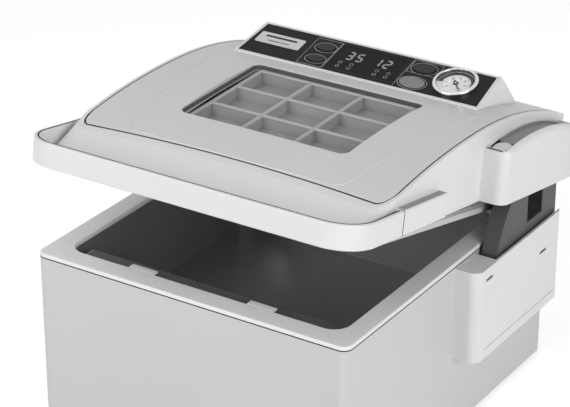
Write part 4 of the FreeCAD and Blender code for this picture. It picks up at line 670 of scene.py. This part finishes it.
def sweep_into(target, rings, closed):
    """Skin over rings of as many points, joined end to end or closed with a face at each end."""
    made = [[target.verts.new(point) for point in ring] for ring in rings]
    pairs = list(zip(made, made[1:]))
    if closed:
        pairs.append((made[-1], made[0]))
    else:
        target.faces.new(made[0][::-1])
        target.faces.new(made[-1])
    for first, second in pairs:
        for index in range(len(first)):
            after = (index + 1) % len(first)
            target.faces.new((first[index], first[after], second[after], second[index]))


def swept(name, rings, closed):
    target = bmesh.new()
    sweep_into(target, rings, closed)
    return finished(target, name)


def dense(path):
    """The same path with points close together."""
    points = [path[0]]
    for (x0, y0), (x1, y1) in zip(path, path[1:]):
        steps = max(1, round(math.hypot(x1 - x0, y1 - y0) / PATH_STEP))
        for step in range(1, steps + 1):
            points.append((x0 + (x1 - x0) * step / steps, y0 + (y1 - y0) * step / steps))
    return points


def left_of(path, closed):
    """For each point of a path, the level direction to its left."""
    last = len(path) - 1
    sides = []
    for index in range(len(path)):
        before = path[index - 1] if index or closed else path[0]
        after = path[(index + 1) % len(path)] if index < last or closed else path[last]
        along = Vector(after) - Vector(before)
        sides.append(Vector((-along.y, along.x)).normalized())
    return sides


def cover_bead():
    """Low raised line round the window, laid on the top cover."""
    cover = skin("lid_top_cover")
    left = [(-x, y) for x, y in BEAD_LEFT]
    path = dense(left + [(-x, y) for x, y in reversed(left)])
    across = BEAD_SHOULDER[0]
    up = BEAD_H * BEAD_SHOULDER[1]
    shape = ((-1.0, -BEAD_SINK), (-across, up), (0.0, BEAD_H), (across, up), (1.0, -BEAD_SINK))
    rings = []
    for (x, y), side in zip(path, left_of(path, False)):
        ring = []
        for share, lift in shape:
            place = Vector((x, y)) + side * (share * BEAD_W / 2)
            ring.append(from_level((place.x, place.y, level_height(cover, place.x, place.y) + lift)))
        rings.append(ring)
    return swept("cover_bead", rings, False)


def seam_path():
    """Right half of the seam from the middle of its front, then the left half back to it."""
    right = []
    for step in range(SEAM_BOW_STEPS + 1):
        x = SEAM_BOW_HALF * step / SEAM_BOW_STEPS
        right.append((x, SEAM_FRONT_Y - SEAM_BOW * (x / SEAM_BOW_HALF) ** 2))
    right += list(SEAM_CORNER) + [(SEAM_CORNER[-1][0], SEAM_REAR_Y)]
    left = [(-x, y) for x, y in reversed(right)]
    return dense(right + left)[:-1]


def cover_seam():
    """Dark strip of painted shade in the gap between the top cover and the lid's frame."""
    cover = skin("lid_top_cover")
    casing = skin("lid_frame")
    path = seam_path()
    rings = []
    for (x, y), side in zip(path, left_of(path, True)):
        inner = Vector((x, y)) + side * SEAM_LOOK
        outer = Vector((x, y)) - side * SEAM_LOOK
        height = (level_height(cover, inner.x, inner.y) + level_height(casing, outer.x, outer.y)) / 2
        ring = []
        for share, drop in ((-1, SEAM_SINK), (1, SEAM_SINK), (1, SEAM_DEPTH), (-1, SEAM_DEPTH)):
            place = Vector((x, y)) + side * (share * SEAM_HALF_W)
            ring.append(from_level((place.x, place.y, height - drop)))
        rings.append(ring)
    return swept("cover_seam", rings, True)


def rounded(corners, radius):
    """Outline of a four-sided shape from its low right corner round to its low left one, corners rounded."""
    points = []
    sides = ((1, -1, -QUARTER), (1, 1, 0.0), (-1, 1, QUARTER), (-1, -1, 2 * QUARTER))
    for (x, y), (right, back, start) in zip(corners, sides):
        for step in range(CORNER_STEPS + 1):
            turn = math.radians(start + QUARTER * step / CORNER_STEPS)
            points.append((x + radius * (math.cos(turn) - right), y + radius * (math.sin(turn) - back)))
    return points


def window_outline(grow):
    """Outline of the window, its sides moved out by grow."""
    front = WINDOW_FRONT[0] + grow
    back = WINDOW_BACK[0] + grow
    low = WINDOW_FRONT[1] - grow
    high = WINDOW_BACK[1] + grow
    return rounded(((front, low), (back, high), (-back, high), (-front, low)), WINDOW_R + grow)


def window_edge():
    """Rubber edge on the inside of the window."""
    cover = skin("lid_top_cover")
    outlines = [window_outline(grow) for grow in (EDGE_LOOK, EDGE_OUT, EDGE_IN)]
    rings = []
    for look, outer, inner in zip(*outlines):
        height = level_height(cover, *look)
        corners = ((outer, EDGE_TOP), (inner, EDGE_TOP), (inner, EDGE_BOTTOM), (outer, EDGE_BOTTOM))
        rings.append([from_level((x, y, height - drop)) for (x, y), drop in corners])
    return swept("window_edge", rings, True)


def rib_lines():
    """Middle lines of the ribs, across the window and along it."""
    front, back = RIB_ENDS
    lines = []
    for step in range(RIB_CELLS + 1):
        share = step / RIB_CELLS
        x = RIB_HALF * (2 * share - 1)
        y = front + (back - front) * share
        lines.append(((-RIB_HALF, y), (RIB_HALF, y)))
        lines.append(((x, front), (x, back)))
    return lines


def rib_tops():
    """Half-round tops along the ribs that show through the window."""
    clear = skin("pressure_lid")
    turns = [math.pi * step / RIB_TOP_SIDES for step in range(RIB_TOP_SIDES + 1)]
    shape = [(math.cos(turn), RIB_TOP_H * math.sin(turn)) for turn in turns]
    shape = [(1.0, -RIB_TOP_SINK)] + shape + [(-1.0, -RIB_TOP_SINK)]
    target = bmesh.new()
    for line in rib_lines():
        path = dense(line)
        rings = []
        for (x, y), side in zip(path, left_of(path, False)):
            height = level_height(clear, x, y)
            places = [(Vector((x, y)) + side * (share * RIB_TOP_HALF), lift) for share, lift in shape]
            rings.append([from_level((place.x, place.y, height + lift)) for place, lift in places])
        sweep_into(target, rings, False)
    return finished(target, "rib_tops")


def cabinet_outline(grow):
    half = CABINET_HALF + grow
    low = CABINET_ENDS[0] - grow
    high = CABINET_ENDS[1] + grow
    return rounded(((half, low), (half, high), (-half, high), (-half, low)), CABINET_R + grow)


def rim_seam():
    """Thin dark line of painted shade round the cabinet, under its rim."""
    low, high = RIM_SHADE_ZS
    rings = []
    for outer, inner in zip(cabinet_outline(RIM_SHADE_OUT), cabinet_outline(-RIM_SHADE_IN)):
        rings.append([(*outer, low), (*outer, high), (*inner, high), (*inner, low)])
    return swept("rim_seam", rings, True)


def laid_on(name, tree, path, section):
    """Length of a section of (left, up) points that lies on a skin of the lid along a level path."""
    rings = []
    for (x, y), side in zip(path, left_of(path, False)):
        height = level_height(tree, x, y)
        ring = []
        for left, up in section:
            place = Vector((x, y)) + side * left
            ring.append(from_level((place.x, place.y, height + up)))
        rings.append(ring)
    return swept(name, rings, False)


def strip_section(half_w, thickness):
    """Flat strip, sunk a little into what it lies on."""
    return [(-half_w, thickness), (half_w, thickness), (half_w, -SHADE_STRIP_SINK), (-half_w, -SHADE_STRIP_SINK)]


def channel_section(half_w):
    """Flat strip with a low wall along each edge."""
    inner = half_w - CHANNEL_WALL_T
    return [(-half_w, CHANNEL_WALL_H), (-inner, CHANNEL_WALL_H), (-inner, SHADE_STRIP_T), (inner, SHADE_STRIP_T),
            (inner, CHANNEL_WALL_H), (half_w, CHANNEL_WALL_H), (half_w, -SHADE_STRIP_SINK), (-half_w, -SHADE_STRIP_SINK)]


def handle_line():
    """Dark line of painted shade along the top of the handle bar, from one end block round the front to the
    other.
    """
    half = HANDLE_HALF - HANDLE_SHADE_IN
    low = HANDLE_FRONT_Y + HANDLE_SHADE_IN
    outline = rounded(((half, low), (half, HANDLE_END_Y), (-half, HANDLE_END_Y), (-half, low)),
                      HANDLE_R - HANDLE_SHADE_IN)
    corner = CORNER_STEPS + 1
    path = [(-half, HANDLE_END_Y)] + outline[-corner:] + outline[:corner] + [(half, HANDLE_END_Y)]
    section = strip_section(HANDLE_SHADE_HALF, HANDLE_SHADE_T)
    return laid_on("handle_line", skin("handle_bar"), dense(path)[1:-1], section)


def handle_seam(name, mirror):
    """Thin dark slice of painted shade where the handle bar meets an end block."""
    (low_x, low_z), (high_x, high_z) = HANDLE_SEAM_SHADE
    outline = rounded(((high_x, low_z), (high_x, high_z), (low_x, high_z), (low_x, low_z)), HANDLE_SEAM_SHADE_R)
    rings = []
    for y in (HANDLE_END_Y - HANDLE_SEAM_SHADE_HALF, HANDLE_END_Y + HANDLE_SEAM_SHADE_HALF):
        rings.append([from_level((mirror * x, y, z)) for x, z in outline])
    return swept(name, rings, False)


def side_strip(name, node_name, mirror, ends, section):
    path = dense([(mirror * x, y) for x, y in ends])
    return laid_on(name, skin(node_name), path, section)


def insert(name, low, high, mirror):
    """Small black block of painted shade with softened edges."""
    target = bmesh.new()
    bmesh.ops.create_cube(target, size=1.0)
    size = Vector(high) - Vector(low)
    middle = (Vector(high) + Vector(low)) / 2
    place = Matrix.Translation((mirror * middle.x, middle.y, middle.z)) @ Matrix.Diagonal((*size, 1.0))
    target.transform(place)
    bmesh.ops.bevel(target, geom=target.edges, offset=SHADE_BLOCK_EDGE_R, segments=SHADE_BLOCK_EDGE_STEPS,
                    affect="EDGES")
    return finished(target, name)


def add_side_trims(side, mirror, materials):
    """Painted shade of one side: blocks in the arm's recess and the slits, the handle seam, strips on the
    end block and the hinge cover, and the line in front of the plug.
    """
    black = materials["rubber_black"]
    # black block painted in the arm's recess as its shade
    name = f"arm_recess_shade_{side}"
    add_piece(name, insert(name, *ARM_RECESS_SHADE, mirror), "lid", black)
    # black blocks painted in the slits as their shade
    for number, corners in enumerate(SLIT_SHADES):
        name = f"slit_shade_{side}_{number}"
        add_piece(name, insert(name, *corners, mirror), "base", black)
    # dark slice painted where the handle bar meets the end block, as the shade there
    name = f"handle_seam_{side}"
    add_piece(name, handle_seam(name, mirror), "lid", black)
    # grey strip painted on the end block's top as its shade
    name = f"end_shade_{side}"
    liner = side_strip(name, "handle_ends", mirror, END_SHADE, strip_section(END_SHADE_HALF, SHADE_STRIP_T))
    add_piece(name, liner, "lid", materials["shade_grey"])
    cover = f"hinge_cover_{side}"
    # dark line painted in front of the plug as its shadow
    name = f"plug_shadow_{side}"
    line = side_strip(name, cover, mirror, PLUG_SHADOW, strip_section(PLUG_SHADOW_HALF, SHADE_STRIP_T))
    add_piece(name, line, "lid", black)
    # black and grey strips painted in the groove as its shade
    for kind, finish, start, end in GROOVE_SHADES:
        name = f"{kind}_{side}"
        ends = ((GROOVE_MIDDLE, start), (GROOVE_MIDDLE, end))
        channel = side_strip(name, cover, mirror, ends, channel_section(GROOVE_HALF))
        add_piece(name, channel, "lid", materials[finish])


def add_details(materials):
    light = materials["print_light"]
    dark = materials["print_and_shade_dark"]
    add_piece("dial_ticks", dial_ticks(), "lid", dark)
    add_piece("dial_numbers", dial_numbers(), "lid", dark)
    add_piece("display_marks", display_marks(), "lid", light)
    add_piece("panel_lines", panel_lines(), "lid", light)
    add_piece("label_lines", label_lines(), "lid", dark)
    add_piece("cover_bead", cover_bead(), "lid", materials["cover_silver"])
    # black strip painted in the seam round the top cover as its shade
    add_piece("cover_seam", cover_seam(), "lid", materials["rubber_black"])
    add_piece("window_edge", window_edge(), "lid", materials["arm_grey"])
    add_piece("rib_tops", rib_tops(), "lid", materials["rib_light"])
    # dark line painted along the handle's top as its shade
    add_piece("handle_line", handle_line(), "lid", materials["rubber_black"])
    # dark line painted under the rim as its shade
    add_piece("rim_seam", rim_seam(), "base", materials["rubber_black"])
    for side, mirror in (("left", -1), ("right", 1)):
        add_side_trims(side, mirror, materials)


# Studio


def seen_share(tree):
    """1 for the rays that show the backdrop: from the camera, in a mirror or through glass."""
    path = node(tree, "ShaderNodeLightPath")
    share = path.outputs["Is Camera Ray"]
    for name in ("Is Glossy Ray", "Is Transmission Ray"):
        larger = node(tree, "ShaderNodeMath", operation="MAXIMUM")
        tree.links.new(share, larger.inputs[0])
        tree.links.new(path.outputs[name], larger.inputs[1])
        share = larger.outputs[0]
    return share


def add_sky():
    world = bpy.data.worlds.new("studio")
    world.use_nodes = True
    bpy.context.scene.world = world
    tree = world.node_tree
    tree.nodes.clear()
    out = node(tree, "ShaderNodeOutputWorld")
    sky = node(tree, "ShaderNodeBackground")
    sky.inputs["Color"].default_value = SKY_COLOUR
    strength = spread_between(tree, seen_share(tree), SKY_STRENGTH, SEEN_STRENGTH)
    tree.links.new(strength, sky.inputs["Strength"])
    tree.links.new(sky.outputs[0], out.inputs["Surface"])


def floor_material():
    made = bpy.data.materials.new("studio_floor")
    made.use_nodes = True
    tree = made.node_tree
    tree.nodes.clear()
    out = node(tree, "ShaderNodeOutputMaterial")
    matt = node(tree, "ShaderNodeBsdfDiffuse")
    matt.inputs["Color"].default_value = FLOOR_COLOUR
    glow = node(tree, "ShaderNodeEmission")
    both = node(tree, "ShaderNodeAddShader")
    tree.links.new(spread_between(tree, seen_share(tree), 0.0, FLOOR_GLOW), glow.inputs["Strength"])
    tree.links.new(matt.outputs[0], both.inputs[0])
    tree.links.new(glow.outputs[0], both.inputs[1])
    tree.links.new(both.outputs[0], out.inputs["Surface"])
    return made


def add_floor():
    target = bmesh.new()
    bmesh.ops.create_grid(target, x_segments=1, y_segments=1, size=FLOOR_SIZE)
    mesh = bpy.data.meshes.new("floor")
    target.to_mesh(mesh)
    target.free()
    mesh.materials.append(floor_material())
    made = bpy.data.objects.new("floor", mesh)
    bpy.context.scene.collection.objects.link(made)


def add_soft_box(name, place, target, size, power):
    lamp = bpy.data.lights.new(name, "AREA")
    lamp.shape = "SQUARE"
    lamp.size = size
    lamp.energy = power
    made = bpy.data.objects.new(name, lamp)
    made.location = place
    aim = Vector(target) - Vector(place)
    made.rotation_euler = aim.to_track_quat("-Z", "Y").to_euler()
    bpy.context.scene.collection.objects.link(made)


def add_camera():
    lens = bpy.data.cameras.new("photo_camera")
    lens.lens = CAMERA_LENS
    lens.sensor_width = SENSOR_WIDTH
    lens.sensor_fit = "HORIZONTAL"
    made = bpy.data.objects.new("photo_camera", lens)
    made.location = CAMERA_AT
    made.rotation_euler = (math.radians(QUARTER - CAMERA_ELEVATION), 0.0, math.radians(CAMERA_AZIMUTH))
    bpy.context.scene.collection.objects.link(made)
    bpy.context.scene.camera = made


MATERIALS = all_materials()
dress_cad(MATERIALS)
add_details(MATERIALS)
add_sky()
add_floor()
for soft_box in SOFT_BOXES:
    add_soft_box(*soft_box)
add_camera()
bpy.context.scene.view_settings.view_transform = "Standard"
